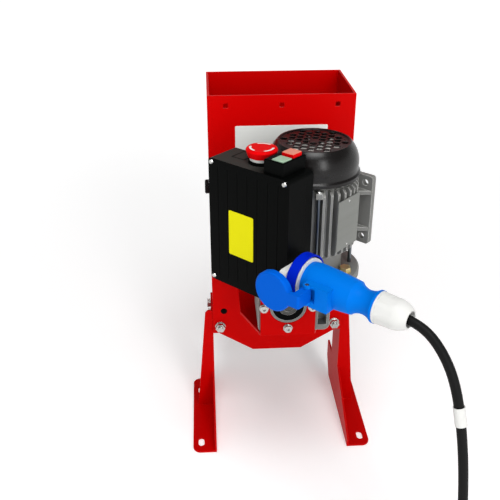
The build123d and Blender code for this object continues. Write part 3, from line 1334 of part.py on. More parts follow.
def cable_band():
    """Blank sleeve on the hanging part of the cable."""
    points = cable_route()
    path = FilletPolyline(*points, radius=corner_radii(points))
    plane = Plane(origin=path @ BAND_AT, z_dir=path % BAND_AT)
    ring = Cylinder(CABLE_R + BAND_THICK + MOVE, BAND_LONG) - Cylinder(CABLE_R + MOVE, BAND_LONG + 2)
    return plane * ring


def plug():
    """Mains plug: boot, round body with a grip waist, and two pins."""
    end = coil_ends()[2] + Vector(-COIL_TAIL, 0, 0)
    face = PLUG_BOOT + PLUG_BODY
    body = spun((0, 0), (0, CABLE_R + 1), (PLUG_BOOT, CABLE_R + 3.5), (PLUG_BOOT + 2, 0.8 * PLUG_R),
                (PLUG_BOOT + 0.45 * PLUG_BODY, 0.74 * PLUG_R), (PLUG_BOOT + 0.75 * PLUG_BODY, PLUG_R),
                (face, PLUG_R), (face, 0))
    for side in (-1, 1):
        body += crosswise(PLUG_PIN_R, face, face + PLUG_PIN, side * PLUG_PIN_SPREAD / 2, 0)
    return Pos(*end) * Rot(0, 0, 180) * body


def build():
    green, red = button_wells()
    nodes = {
        "front_plate": front_plate(), "back_plate": back_plate(),
        "left_wall": side_wall(-1), "right_wall": side_wall(1), "blank_plaque": plaque(),
        "left_leg": leg(-1), "right_leg": leg(1), "frame_bolts": frame_bolts(), "tie_rods": tie_rods(),
        "cracking_roller": cracking_roller(), "roller_shaft": roller_shaft(),
        "rear_bearing_housing": rear_bearing_housing(), "ball_bearings": ball_bearings(),
        "jaw_plate": jaw_plate(), "jaw_guides": jaw_guides(),
        "jaw_spindle": jaw_spindle(), "adjuster_knob": adjuster_knob(), "deflector_plate": deflector_plate(),
        "gearbox_housing": gearbox_housing(), "gearbox_cover": gearbox_cover(), "output_seals": output_seals(),
        "hollow_shaft": hollow_shaft(), "worm_wheel": worm_wheel(),
        "worm": worm(), "bearing_bracket": bearing_bracket(), "bracket_screws": bracket_screws(),
        "motor_flange": motor_flange(), "motor_frame": motor_frame(), "motor_through_bolts": motor_through_bolts(),
        "motor_feet": motor_feet(), "motor_rear_shield": motor_rear_shield(),
        "motor_shaft": motor_shaft(), "stator": stator(), "rotor_core": rotor_core(), "motor_fan": motor_fan(),
        "fan_cover": fan_cover(), "rating_plate": rating_plate(), "flange_bolts": flange_bolts(),
        "box_base": box_base(), "box_cover": box_cover(), "cover_screws": cover_screws(),
        "blank_label": blank_label(), "stop_base": stop_base(), "stop_stem": stop_stem(), "stop_cap": stop_cap(),
        "switch_block": switch_block(), "green_button": push_button(green, GREEN_PROUD),
        "red_button": push_button(red, RED_PROUD), "inlet_neck": inlet_neck(), "inlet_collar": inlet_collar(),
    }
    cord = {
        "coupling_body": coupling_body(), "coupling_ring": coupling_ring(), "coupling_flap": coupling_flap(),
        "flap_pin": flap_pin(), "gland_nut": gland_nut(), "cable": cable(), "cable_band": cable_band(),
        "cable_coil": cable_coil(), "coil_tie": coil_tie(), "plug": plug(),
    }
    return nodes, cord


NODES, CORD = build()
boxes = [shape.bounding_box() for shape in NODES.values()]
MIDDLE_X = (min(box.min.X for box in boxes) + max(box.max.X for box in boxes)) / 2
MIDDLE_Y = (min(box.min.Y for box in boxes) + max(box.max.Y for box in boxes)) / 2
HOME = Pos(-MIDDLE_X, -MIDDLE_Y, 0)
print("front plate face at Y", round(-MIDDLE_Y, 3), "middle X", round(MIDDLE_X, 3))

os.makedirs("parts", exist_ok=True)
for name, shape in {**NODES, **CORD}.items():
    export_step(HOME * shape, f"parts/{name}.step")
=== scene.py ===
# %% [markdown]
# An electric nutcracker in Blender
# The machine stands on two bent legs. Its hopper is red sheet, and a grey motor with a black control
# box stands in front of it. The solid pieces come from CAD at their real size and place, so this lesson
# is about light, finishes and the few thin pieces that only a picture needs. Everything is in metres,
# with +Z up.

# %% Load the packed pieces
import bmesh
import bpy
import math
from mathutils import Matrix, Vector


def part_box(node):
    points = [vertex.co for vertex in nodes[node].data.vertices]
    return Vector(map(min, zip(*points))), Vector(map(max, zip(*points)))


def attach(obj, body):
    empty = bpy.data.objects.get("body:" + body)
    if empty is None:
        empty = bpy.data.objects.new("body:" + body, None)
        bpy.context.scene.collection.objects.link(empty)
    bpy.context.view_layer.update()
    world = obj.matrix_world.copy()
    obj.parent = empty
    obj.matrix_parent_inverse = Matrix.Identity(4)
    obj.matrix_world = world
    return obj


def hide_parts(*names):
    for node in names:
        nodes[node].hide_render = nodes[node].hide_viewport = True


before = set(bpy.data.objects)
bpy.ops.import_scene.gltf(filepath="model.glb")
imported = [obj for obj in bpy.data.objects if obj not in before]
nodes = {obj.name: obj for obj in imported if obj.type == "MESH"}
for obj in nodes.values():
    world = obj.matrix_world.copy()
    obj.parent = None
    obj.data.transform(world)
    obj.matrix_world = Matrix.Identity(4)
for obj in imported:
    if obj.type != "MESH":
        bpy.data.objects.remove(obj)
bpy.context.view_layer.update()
print("CAD pieces:", len(nodes))

# %% [markdown]
# Measures from one face
# On the real machine everything hangs on the red front plate, so its front face is the plane that
# measures start from. Places could be typed in as metres in the scene, but millimetres to the right of
# the plate's middle, behind its face and above the floor can be checked with a ruler. One helper turns
# them into places in the scene.

# %% Measures from the front plate
MM = 0.001
plate_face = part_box("front_plate")[0].y


def spot(x, y, z):
    """A place in millimetres right of the plate's middle, behind its face and above the floor."""
    return Vector((x * MM, y * MM + plate_face, z * MM))


print("front plate at", round(plate_face, 4))

# %% [markdown]
# Camera
# The view is from about a metre in front of the machine, a little to its left, looking down. A camera
# could be aimed at a target, but a place and two angles that fit the plate's edges and the legs match
# the view better. The sensor and the picture are one width in two units, so the focal length in pixels
# gives the lens. The angles are in radians.

# %% Camera
SENSOR = 36.0
PICTURE = 500
FOCAL_PIXELS = 729.7
CAMERA_AT = (-103.42, -948.19, 794.99)
LOOK_DOWN = 0.4868
LOOK_RIGHT = 0.0638


def add_object(name, data):
    """A new object in the scene that shows a mesh, a curve, a lamp or a camera."""
    made = bpy.data.objects.new(name, data)
    bpy.context.scene.collection.objects.link(made)
    return made


camera_data = bpy.data.cameras.new("camera")
camera_data.sensor_width = SENSOR
camera_data.lens = SENSOR * FOCAL_PIXELS / PICTURE
camera = add_object("camera", camera_data)
camera.location = spot(*CAMERA_AT)
camera.rotation_euler = (math.pi / 2 - LOOK_DOWN, 0.0, -LOOK_RIGHT)
bpy.context.scene.camera = camera
print("lens", round(camera_data.lens, 2), "mm")

# %% [markdown]
# Cable
# The supply lead is a stiff rubber cable. It leaves its gland straight, bends over and hangs down to
# the floor. A mesh tube could be swept along it, but a curve with a round bevel needs only a few points
# that the cable passes near, and a NURBS spline rounds them as a stiff cable would. The points are in
# millimetres from the front plate.

# %% Cable route
CABLE_R = 5.5
CABLE_Z = 7.0

route = [(97.33, -285.86, 360), (117.47, -305.31, 360), (136, -327.5, 346.5), (151.5, -351, 314),
         (162, -368.5, 250), (168.7, -380, 180), (172.5, -387, 110), (172, -389.8, 68),
         (152.3, -391, 30.5), (117, -391, CABLE_Z)]
print("route points:", len(route))

# %% [markdown]
# The rest of the lead lies on the floor in a neat coil. Turns drawn by hand would never be round, so a
# formula winds them: the spiral goes in on the floor, turns back and goes out again one layer higher.
# It climbs in the half turn where it turns back, by a smooth step, and a short straight tail leads to
# the plug.

# %% Coil
COIL_MIDDLE = (78.0, -323.0)
COIL_R = 68.0
COIL_PITCH = 11.6
COIL_LAYER = 11.5
LAYER_TURNS = 1.5
CLIMB_TURNS = 0.5
COIL_TAIL = 45.0
POINTS_A_TURN = 16


def coil_place(turns):
    """A point of the coil: a spiral in on the floor, then out again one layer higher."""
    radius = COIL_R - COIL_PITCH * (LAYER_TURNS - abs(turns - LAYER_TURNS))
    angle = -math.pi / 2 - 2 * math.pi * turns
    share = min(max((turns - LAYER_TURNS) / CLIMB_TURNS + 0.5, 0.0), 1.0)
    rise = COIL_LAYER * (3 * share ** 2 - 2 * share ** 3)
    x = COIL_MIDDLE[0] + radius * math.cos(angle)
    y = COIL_MIDDLE[1] + radius * math.sin(angle)
    return x, y, CABLE_Z + rise


coil_steps = int(2 * LAYER_TURNS * POINTS_A_TURN)
coil = [coil_place(step / POINTS_A_TURN) for step in range(coil_steps + 1)]
end_x, end_y, end_z = coil[-1]
tail = [(end_x - COIL_TAIL / 2, end_y, end_z), (end_x - COIL_TAIL, end_y, end_z)]
print("coil points:", len(coil))

# %% [markdown]
# One spline carries the route, the coil and the tail, so the cable is one unbroken length as the real
# one is. Its bevel is one unit thick and every point carries the cable's real radius. The order is set
# after the points are added, because a spline with too few points falls back to straight runs.

# %% Cable curve
cable_points = [spot(*point) for point in route + coil + tail]
cable_curve = bpy.data.curves.new("supply_cable", "CURVE")
cable_curve.dimensions = "3D"
cable_curve.bevel_depth = 1.0
cable_curve.bevel_resolution = 5
cable_curve.resolution_u = 8
cable_curve.use_fill_caps = True
line = cable_curve.splines.new("NURBS")
line.points.add(len(cable_points) - 1)
for point, place in zip(line.points, cable_points):
    point.co = (*place, 1.0)
    point.radius = CABLE_R * MM
line.order_u = 3
line.use_endpoint_u = True
print("cable points:", len(cable_points))

# %% [markdown]
# A piece of the scene says which moving body of the machine carries it. The cable also stands for the
# two plain CAD solids of the lead, which are hidden.


def add_piece(name, data, body):
    """A new piece that rides on a body."""
    piece = add_object(name, data)
    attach(piece, body)
    return piece


supply_cable = add_piece("supply_cable", cable_curve, "machine")
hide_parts("cable", "cable_coil")

# %% [markdown]
# Shader sums
# Finishes mix noises and masks. Written as nodes and links that is long and hard to read, so a small
# class wraps a socket and lets Python's signs add the Math nodes. One method makes every other node
# from its type, its settings and its sockets, and another one links a wire to a shader.


# %% A socket that can be used in sums
class Wire:
    """An output in a node tree, or only the tree while nothing is made in it."""

    def __init__(self, tree, socket=None):
        self.tree = tree
        self.socket = socket

    def node(self, kind, settings=None, sockets=None, out=0):
        """A new node from its type, its settings and the values or wires of its sockets."""
        made = self.tree.nodes.new("ShaderNode" + kind)
        for name, value in (settings or {}).items():
            if name == "stops":
                for stop, (position, colour) in zip(made.color_ramp.elements, value):
                    stop.position = position
                    stop.color = colour
            else:
                setattr(made, name, value)
        for name, value in (sockets or {}).items():
            if isinstance(value, Wire):
                self.tree.links.new(value.socket, made.inputs[name])
            else:
                made.inputs[name].default_value = value
        return Wire(self.tree, made.outputs[out])

    def feed(self, shader, name):
        """Links this wire to a shader's socket."""
        self.tree.links.new(self.socket, shader.inputs[name])

    def maths(self, operation, first, second):
        """A Math node on two values."""
        return self.node("Math", {"operation": operation}, {0: first, 1: second})

    def __add__(self, other):
        return self.maths("ADD", self, other)

    def __sub__(self, other):
        return self.maths("SUBTRACT", self, other)

    def __rsub__(self, other):
        return self.maths("SUBTRACT", other, self)

    def __mul__(self, other):
        return self.maths("MULTIPLY", self, other)

    def __gt__(self, other):
        return self.maths("GREATER_THAN", self, other)

    def __lt__(self, other):
        return self.maths("LESS_THAN", self, other)

    __radd__ = __add__
    __rmul__ = __mul__


print("a wire knows:", ", ".join(name for name in vars(Wire) if not name.startswith("__")))

# %% [markdown]
# Every finish starts from a blank Principled material. What is the same all over the piece, such as how
# metallic it is, is set on the shader's own socket, and only what varies gets nodes.


# %% Blank material
def blank_material(name, **constants):
    """A new material with its constant sockets set, its shader and a wire to start from."""
    made = bpy.data.materials.new(name)
    made.use_nodes = True
    shader = made.node_tree.nodes["Principled BSDF"]
    for socket, value in constants.items():
        shader.inputs[socket.replace("_", " ")].default_value = value
    return made, shader, Wire(made.node_tree)


print("blank material ready")

# %% [markdown]
# Patterns
# A few patterns come back in every finish: where a point lies, cloudy noise, a slope between two values
# and a mix of two colours. Image textures could give the same, but patterns that are worked out from
# the place on the piece need no unwrapping and stay sharp from close by. A mix goes through the Mix
# node, because a Math node would turn a colour grey, and that node has its colour sockets after those
# for numbers and vectors.

# %% Patterns
MIX_FACTOR = 0
MIX_LOW = 6
MIX_HIGH = 7
MIX_COLOUR = 2


def place_of(wire):
    """Where a point lies on the piece, in metres."""
    return wire.node("TexCoord", out="Object")


def noise(wire, scale, detail, stretch=None):
    """Cloudy values from 0 to 1, finer for a larger scale."""
    where = place_of(wire)
    if stretch:
        where = wire.node("Mapping", {}, {"Vector": where, "Scale": stretch})
    return wire.node("TexNoise", {}, {"Vector": where, "Scale": scale, "Detail": detail})


def slope(wire, value, start, end):
    """0 up to the start, 1 from the end on, and a straight slope between them."""
    return wire.node("MapRange", {}, {"Value": value, "From Min": start, "From Max": end})


def opaque(red, green, blue):
    """A colour with its alpha."""
    return red, green, blue, 1.0


def grey(value):
    """A grey with its alpha."""
    return opaque(value, value, value)


def mix(wire, mask, low, high):
    """A colour that goes from low to high as the mask goes from 0 to 1."""
    sockets = {MIX_FACTOR: mask, MIX_LOW: low, MIX_HIGH: high}
    return wire.node("Mix", {"data_type": "RGBA"}, sockets, out=MIX_COLOUR)


print("patterns ready")

# %% [markdown]
# Floor
# The picture has a white ground with hardly a shadow. A floor that only reflects comes out grey under
# lamps that suit the machine, so this one also glows: little under the machine, where the contact
# shadow stays, and more and more further out, until it fades into the white of the background.

# %% Floor
FLOOR_HALF = 6.0
FLOOR_DROP = 0.5 * MM
FLOOR_CLOUDS = 3.0
FLOOR_DETAIL = 4.0
FLOOR_GREYS = (0.82, 0.84)
GLOW_FROM = 0.35
GLOW_TO = 2.2
GLOW_GREYS = (0.3, 0.78)

floor_mesh = bpy.data.meshes.new("floor")
shape = bmesh.new()
bmesh.ops.create_grid(shape, x_segments=1, y_segments=1, size=FLOOR_HALF)
shape.to_mesh(floor_mesh)
shape.free()
floor = add_object("floor", floor_mesh)
floor.location.z = -FLOOR_DROP

pale_floor, floor_shader, floor_wire = blank_material("pale_floor", Roughness=0.9, Emission_Strength=1.0)
floor_clouds = noise(floor_wire, FLOOR_CLOUDS, FLOOR_DETAIL)
floor_colour = mix(floor_wire, floor_clouds, *map(grey, FLOOR_GREYS))
floor_colour.feed(floor_shader, "Base Color")
away = floor_wire.node("VectorMath", {"operation": "LENGTH"}, {0: place_of(floor_wire)}, out="Value")
floor_glow = mix(floor_wire, slope(floor_wire, away, GLOW_FROM, GLOW_TO), *map(grey, GLOW_GREYS))
floor_glow.feed(floor_shader, "Emission Color")
floor_mesh.materials.append(pale_floor)
print("floor width:", round(max(corner.co.x for corner in floor_mesh.vertices) * 2, 2), "m")

# %% [markdown]
# Sky
# A studio has bright walls and a darker ceiling. One even white all round would be simpler, but it
# washes out the black plastics from above, so the sky is white near the horizon and falls to a quarter
# of that higher up. The height of a direction is all that this needs. The Standard view keeps the white
# of the ground white.

# %% Sky
WALL_TOP = 0.18
WALL_GREY = 1.0
CEILING_FROM = 0.4
CEILING_GREY = 0.25

world = bpy.data.worlds.new("studio")
world.use_nodes = True
sky = Wire(world.node_tree)
height = sky.node("SeparateXYZ", {}, {0: sky.node("TexCoord", out="Generated")}, out="Z")
studio_stops = [(WALL_TOP, grey(WALL_GREY)), (CEILING_FROM, grey(CEILING_GREY))]
brightness = sky.node("ValToRGB", {"stops": studio_stops}, {"Fac": height})
brightness.feed(world.node_tree.nodes["Background"], "Color")
bpy.context.scene.world = world
bpy.context.scene.view_settings.view_transform = "Standard"
print("sky fades from height", WALL_TOP, "to", CEILING_FROM)

# %% [markdown]
# Lamps
# Soft boxes light the machine. The key lamp in front is tall and narrow, because its reflection is the
# upright highlight on the black fan cover. A square one overhead lights the lids, and a weak one on the
# left opens the shadows. Point lamps would be quicker to set up, but they give hard shadows that the
# picture doesn't have.


# %% Lamps
def lamp(name, place, target, wide, high, power):
    """A soft box that looks at a target."""
    data = bpy.data.lights.new(name, "AREA")
    data.shape = "RECTANGLE"
    data.size = wide
    data.size_y = high
    data.energy = power
    made = add_object(name, data)
    made.location = place
    made.rotation_euler = (Vector(target) - Vector(place)).to_track_quat("-Z", "Y").to_euler()


lamp("key", place=(0.62, -2.0, 1.2), target=(0, 0, 0.45), wide=0.5, high=1.3, power=18)
lamp("top", place=(0.0, -0.7, 2.0), target=(0, 0, 0.4), wide=0.9, high=0.9, power=24)
lamp("fill", place=(-1.4, -1.3, 1.5), target=(0, 0, 0.3), wide=1.4, high=1.4, power=2)

# %% [markdown]
# Edges
# No real edge is sharp: it is rounded, catches the light and wears first. The CAD edges could be cut
# round in the mesh, but the Bevel node bends the light there without a single new face. Where its
# rounded normal leaves the face's own normal there is an edge, and that is the mask for thinner coats
# and for painted highlights on edges.

# %% Edge mask
EDGE_SAMPLES = 4
EDGE_FULL = 0.9
EDGE_NONE = 0.995


def round_edges(wire, radius):
    """Normals as if the edges were rounded, so that they catch the light."""
    return wire.node("Bevel", {"samples": EDGE_SAMPLES}, {"Radius": radius})


def face_way(wire):
    """The way that a face looks."""
    return wire.node("NewGeometry", out="Normal")


def dot(wire, first, second):
    """How far one vector goes along another."""
    return wire.node("VectorMath", {"operation": "DOT_PRODUCT"}, {0: first, 1: second}, out="Value")


def edge_mask(wire, soft):
    """1 on an edge and 0 on a flat, from how far the rounded normal leaves the face's own."""
    agreement = dot(wire, soft, face_way(wire))
    stops = [(EDGE_FULL, grey(1.0)), (EDGE_NONE, grey(0.0))]
    return wire.node("ValToRGB", {"stops": stops}, {"Fac": agreement})


print("edges fade from", EDGE_FULL, "to", EDGE_NONE)

# %% [markdown]
# Finish maker
# Every finish of this machine is a base colour that clouds a little, a roughness that varies with the
# grain, and a bump from the same grain. A node tree for each would repeat itself more than twenty
# times, so one function takes what differs. Rolled or brushed metal stretches its grain, and a patch
# changes the colour in one place.

# %% Finish maker
CLOUD_SCALE = 9.0
CLOUD_DETAIL = 5.0
GRAIN_DETAIL = 3.0
BUMP_STRENGTH = 0.5


def finish(name, low, high, *, rough, spread, grain, depth, edge=0.6, edge_thin_coat_and_highlight=None, metal=0.0,
           stretch=None, gloss=0.5, patch=None, patch_colour=None):
    """Two base colours, roughness and its spread, grain, and bump depth and edge in millimetres."""
    made, shader, wire = blank_material(name, Metallic=metal, Specular_IOR_Level=gloss)
    clouds = noise(wire, CLOUD_SCALE, CLOUD_DETAIL, stretch)
    fine = noise(wire, grain, GRAIN_DETAIL, stretch)
    soft = round_edges(wire, edge * MM)
    colour = mix(wire, clouds, opaque(*low), opaque(*high))
    # The edge colour is a thinner coat on the red sheet and a painted highlight on the edges of the metals.
    if edge_thin_coat_and_highlight:
        colour = mix(wire, edge_mask(wire, soft), colour, opaque(*edge_thin_coat_and_highlight))
    if patch:
        colour = mix(wire, patch(wire), colour, opaque(*patch_colour))
    colour.feed(shader, "Base Color")
    roughness = rough - spread / 2 + spread * fine
    roughness.feed(shader, "Roughness")
    relief = {"Strength": BUMP_STRENGTH, "Distance": depth * MM, "Height": fine, "Normal": soft}
    wire.node("Bump", {}, relief).feed(shader, "Normal")
    return made


def dress(made, *names):
    """Gives CAD pieces a finish."""
    for name in names:
        nodes[name].data.materials.clear()
        nodes[name].data.materials.append(made)
    print(made.name, "on", len(names), "pieces")


print("finish maker ready")

# %% [markdown]
# Red powder coat
# The hopper, the legs and the bracket are sheet with a thick red powder coat. A plain red would do from
# afar, but from close by the coat has a faint orange-peel surface and thins to a lighter red where the
# sheet is cut. Little gloss keeps the red deep, because the pale floor would otherwise lie on it as a
# milky film.

# %% Red powder coat
red_powder = finish("red_powder_coat", (0.47, 0.0002, 0.0002), (0.52, 0.0003, 0.0003), rough=0.36,
                    spread=0.08, grain=700, depth=0.03, edge=0.8, edge_thin_coat_and_highlight=(0.6, 0.006, 0.006),
                    gloss=0.03)
dress(red_powder, "front_plate", "back_plate", "left_wall", "right_wall", "left_leg", "right_leg",
      "bearing_bracket", "deflector_plate")

# %% [markdown]
# Castings and iron
# The motor and the gearbox are cast aluminium, dull and mottled from the mould, with pale corners that
# are painted highlights where the edges catch the light. A full metal would mirror the red plate behind
# it, so the finish is only partly metallic and quite rough. The rear bearing's housing is painted iron.

# %% Castings and iron
# Its pale edge colour is a painted highlight.
cast_grey = finish("cast_aluminium", (0.155, 0.155, 0.146), (0.235, 0.235, 0.223), rough=0.66, spread=0.2,
                   grain=420, depth=0.12, edge=1.0, edge_thin_coat_and_highlight=(0.6, 0.6, 0.57), metal=0.35)
dress(cast_grey, "gearbox_housing", "gearbox_cover", "motor_flange", "motor_frame", "motor_feet",
      "motor_rear_shield")
dark_iron = finish("painted_iron", (0.03, 0.03, 0.032), (0.06, 0.06, 0.065), rough=0.5, spread=0.2,
                   grain=350, depth=0.1, edge=1.0)
dress(dark_iron, "rear_bearing_housing")

# %% [markdown]
# Aluminium plates
# The bare plate on the hopper and the rating plate on the motor are rolled aluminium. Rolling leaves
# fine lines, so the noise is stretched along one direction instead of drawing the lines one by one. The
# one on the hopper is pale and nearly matt, the motor's is darker and more metallic.

# %% Aluminium plates
brushed_plate = finish("brushed_aluminium", (0.7, 0.71, 0.68), (0.79, 0.8, 0.77), rough=0.45, spread=0.2,
                       grain=260, depth=0.02, edge=0.3, metal=0.15, stretch=(0.05, 1.0, 6.0))
dress(brushed_plate, "blank_plaque")
# The rating plate's lighter edges are painted highlights.
dull_plate = finish("dull_aluminium", (0.18, 0.185, 0.17), (0.24, 0.245, 0.23), rough=0.42, spread=0.2,
                    grain=260, depth=0.02, edge=0.3, edge_thin_coat_and_highlight=(0.4, 0.4, 0.38), metal=0.8,
                    stretch=(0.4, 0.4, 6.0))
dress(dull_plate, "rating_plate")

# %% [markdown]
# Zinc on the fasteners
# Screws and bolts are zinc plated in three shades: bright on the frame, bluish on the long bolts, and
# yellow on the flange. The long bolts are also painted darker, a painted shade where they stand in the
# shade of the fins. One grey for all would be simpler, but the shades tell them apart. They are full
# metals with the same fine grain, so only the colour and the roughness differ.

# %% Zinc on the fasteners
PLATED = {"grain": 300, "depth": 0.03, "edge": 0.4, "metal": 1.0}

zinc = finish("bright_zinc", (0.42, 0.42, 0.41), (0.54, 0.54, 0.52), rough=0.26, spread=0.12, **PLATED)
dress(zinc, "frame_bolts", "tie_rods", "bracket_screws", "cover_screws", "flap_pin")
# Painted shade: the long bolts are darker where the fins shade them.
shaded_blue_zinc = finish("shaded_blue_zinc", (0.09, 0.105, 0.12), (0.14, 0.155, 0.17), rough=0.3, spread=0.12,
                   **PLATED)
dress(shaded_blue_zinc, "motor_through_bolts")
yellow_zinc = finish("yellow_zinc", (0.72, 0.58, 0.27), (0.85, 0.73, 0.42), rough=0.45, spread=0.1,
                     **PLATED)
dress(yellow_zinc, "flange_bolts")

# %% [markdown]
# Working metals
# What turns and rubs inside is bare: turned steel on the roller, the jaw and the shafts, darker steel
# on the hollow shaft and the roller's shaft with painted highlights on its edges, bronze on the worm
# wheel and varnished steel in the motor. Little of it shows, but the same finish maker dresses it at no
# cost, and it is right when a cover comes off.

# %% Working metals
turned_steel = finish("turned_steel", (0.48, 0.48, 0.47), (0.62, 0.62, 0.61), rough=0.3, spread=0.15,
                      grain=500, depth=0.03, edge=0.5, metal=1.0)
dress(turned_steel, "cracking_roller", "jaw_plate", "jaw_guides", "jaw_spindle", "worm", "motor_shaft",
      "ball_bearings")
# Its lighter edge colour is a painted highlight.
dark_steel_painted_edges = finish("dark_steel_painted_edges", (0.05, 0.05, 0.048), (0.1, 0.1, 0.095), rough=0.34, spread=0.15,
                     grain=500, depth=0.03, edge=0.9, edge_thin_coat_and_highlight=(0.5, 0.5, 0.48), metal=0.9)
dress(dark_steel_painted_edges, "hollow_shaft", "roller_shaft")
bronze = finish("wheel_bronze", (0.6, 0.36, 0.14), (0.72, 0.48, 0.22), rough=0.35, spread=0.1,
                grain=400, depth=0.03, edge=0.4, metal=1.0)
dress(bronze, "worm_wheel")
varnished = finish("varnished_steel", (0.14, 0.1, 0.07), (0.22, 0.16, 0.11), rough=0.45, spread=0.1,
                   grain=300, depth=0.05)
dress(varnished, "stator", "rotor_core")

# %% [markdown]
# Black plastics
# The control box has the fine spark texture of its mould, and its lid is a lighter grey on the faces
# that look up, except near the switch. A painted map could show that, but the way that a face looks and
# its place along the box are enough. The fan cover is smoother and shows a soft highlight.

# %% Black plastics
LID_ALONG = Vector((0.719, -0.695, 0))
SWITCH_END_FROM = 48 * MM
SWITCH_END_TO = 72 * MM
FACES_UP = 0.9
MOULD_BLACK = ((0.0008, 0.001, 0.0009), (0.0016, 0.0019, 0.0018))
SPARKED = {"rough": 0.48, "spread": 0.15, "grain": 1600, "depth": 0.05, "edge": 0.8, "gloss": 0.03}


def upward_lid_grey(wire):
    """1 on the upward faces of the lid away from the switch, from the way a face looks and where it lies.
    """
    up = wire.node("SeparateXYZ", {}, {0: face_way(wire)}, out="Z")
    switch_end = slope(wire, dot(wire, place_of(wire), LID_ALONG), SWITCH_END_FROM, SWITCH_END_TO)
    return (up > FACES_UP) * (1 - switch_end)


black_gloss = finish("black_gloss", (0.002, 0.0015, 0.0014), (0.004, 0.003, 0.0028), rough=0.28,
                     spread=0.05, grain=300, depth=0.03, edge=1.0, gloss=0.28)
dress(black_gloss, "fan_cover")
black_mould = finish("black_moulded", *MOULD_BLACK, **SPARKED)
dress(black_mould, "switch_block", "stop_base", "stop_stem", "output_seals")
grey_lid_black = finish("grey_lid_black", *MOULD_BLACK, **SPARKED, patch=upward_lid_grey,
                     patch_colour=(0.031, 0.031, 0.028))
dress(grey_lid_black, "box_base", "box_cover")

# %% [markdown]
# Buttons, fan and label
# The emergency stop is deep red, the switch has a red button whose top is painted pale, a painted
# highlight of the light on it, and a washed-out green button, the fan is pale plastic and the label a
# yellow film. All are smooth mouldings or film, so their grain is shallow.
# The low gloss of the red and the yellow keeps their colour full under the white sky.

# %% Buttons, fan and label
SMOOTH = {"grain": 400, "depth": 0.02}
BUTTON = {"rough": 0.3, "spread": 0.06, "edge": 0.8, "gloss": 0.2}

pale_mould = finish("pale_moulded", (0.9, 0.88, 0.84), (0.95, 0.94, 0.9), rough=0.5, spread=0.1,
                    grain=500, depth=0.03)
dress(pale_mould, "motor_fan")
yellow_film = finish("yellow_film", (0.66, 0.62, 0.002), (0.7, 0.66, 0.003), rough=0.4, spread=0.08,
                     edge=0.2, gloss=0.04, **SMOOTH)
dress(yellow_film, "blank_label")
red_gloss = finish("red_gloss", (0.57, 0.001, 0.002), (0.63, 0.002, 0.003), rough=0.36, spread=0.06,
                   edge=0.8, gloss=0.015, **SMOOTH)
dress(red_gloss, "stop_cap")
# Painted highlight: the red button's top is a pale red where the light washes it out.
highlit_red_top = finish("highlit_red_button_top", (0.56, 0.16, 0.1), (0.64, 0.24, 0.17), **BUTTON, **SMOOTH)
dress(highlit_red_top, "red_button")
pale_green = finish("green_button", (0.24, 0.36, 0.25), (0.3, 0.42, 0.31), **BUTTON, **SMOOTH)
dress(pale_green, "green_button")

# %% [markdown]
# Supply coupling and rubber
# The coupling and its inlet are moulded in two blues, and the flap has the coupling's blue painted
# darker, a painted shade, with white for the neck, the seal, the gland and the cable's band. The blues
# are one kind of plastic with hardly any gloss, which keeps the colour strong, so they share what
# doesn't differ. The cable, the plug, the tie and the knob are black rubber.

# %% Supply coupling and rubber
BLUE = {"spread": 0.1, "edge": 0.8, "gloss": 0.02}

white_mould = finish("white_moulded", (0.61, 0.61, 0.59), (0.68, 0.68, 0.66), rough=0.42, spread=0.1,
                     grain=600, depth=0.03, edge=0.8, gloss=0.2)
dress(white_mould, "inlet_neck", "coupling_ring", "gland_nut", "cable_band")
deep_blue = finish("deep_blue", (0.0003, 0.013, 0.42), (0.0004, 0.018, 0.52), rough=0.4, grain=600,
                   depth=0.03, **BLUE)
dress(deep_blue, "inlet_collar")
clear_blue = finish("clear_blue", (0.0002, 0.134, 0.57), (0.0003, 0.16, 0.65), rough=0.42, grain=700,
                    depth=0.04, **BLUE)
dress(clear_blue, "coupling_body")
# Painted shade: the flap is the coupling's blue, darker where it faces away from the light.
shaded_flap_blue = finish("shaded_flap_blue", (0.0002, 0.085, 0.51), (0.0003, 0.105, 0.59), rough=0.42, grain=700,
                   depth=0.04, **BLUE)
dress(shaded_flap_blue, "coupling_flap")
rubber = finish("black_rubber", (0.004, 0.004, 0.004), (0.008, 0.008, 0.008), rough=0.5, spread=0.2,
                grain=900, depth=0.05, gloss=0.1)
dress(rubber, "plug", "coil_tie", "cable", "cable_coil", "adjuster_knob")
cable_curve.materials.append(rubber)

# %% [markdown]
# Faces with a finish of their own
# Three CAD pieces show two finishes. The base of the emergency stop carries a bright ring, the red
# button's pale top, a painted highlight, has full red sides, and the long bolts, painted darker in the
# shade of the fins, have bright heads above the motor's frame. Cutting the pieces in two would change
# the model, so chosen faces get a second finish instead.

# %% Faces with a finish of their own
RING_FROM = 4.5 * MM
SIDE_BELOW = 0.5


def second_finish(name, made, chosen):
    """Gives the chosen faces of a CAD piece a second finish."""
    mesh = nodes[name].data
    mesh.materials.append(made)
    for face in mesh.polygons:
        face.material_index = int(chosen(face))
    print(made.name, "on", sum(face.material_index for face in mesh.polygons), "faces of", name)


ring_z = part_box("stop_base")[0].z + RING_FROM
frame_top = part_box("motor_frame")[1].z
second_finish("stop_base", brushed_plate, lambda face: face.center.z > ring_z)
# The red button's sides get the full red; its pale top is a painted highlight.
second_finish("red_button", red_gloss, lambda face: face.normal.z < SIDE_BELOW)
# The long bolts' heads get bright zinc above the painted shade of their shanks.
second_finish("motor_through_bolts", zinc, lambda face: face.center.z > frame_top)

# %% [markdown]
# Arrows on the emergency stop
# Three white curved arrows on the mushroom cap show which way to twist it free. They are printed, so a
# very thin mesh just over the cap is enough: a band along an arc that widens and runs out to a point.
# They ride with the cap and turn with it, which a painted spot on the material would also do, but with
# softer edges. The angles are in degrees.

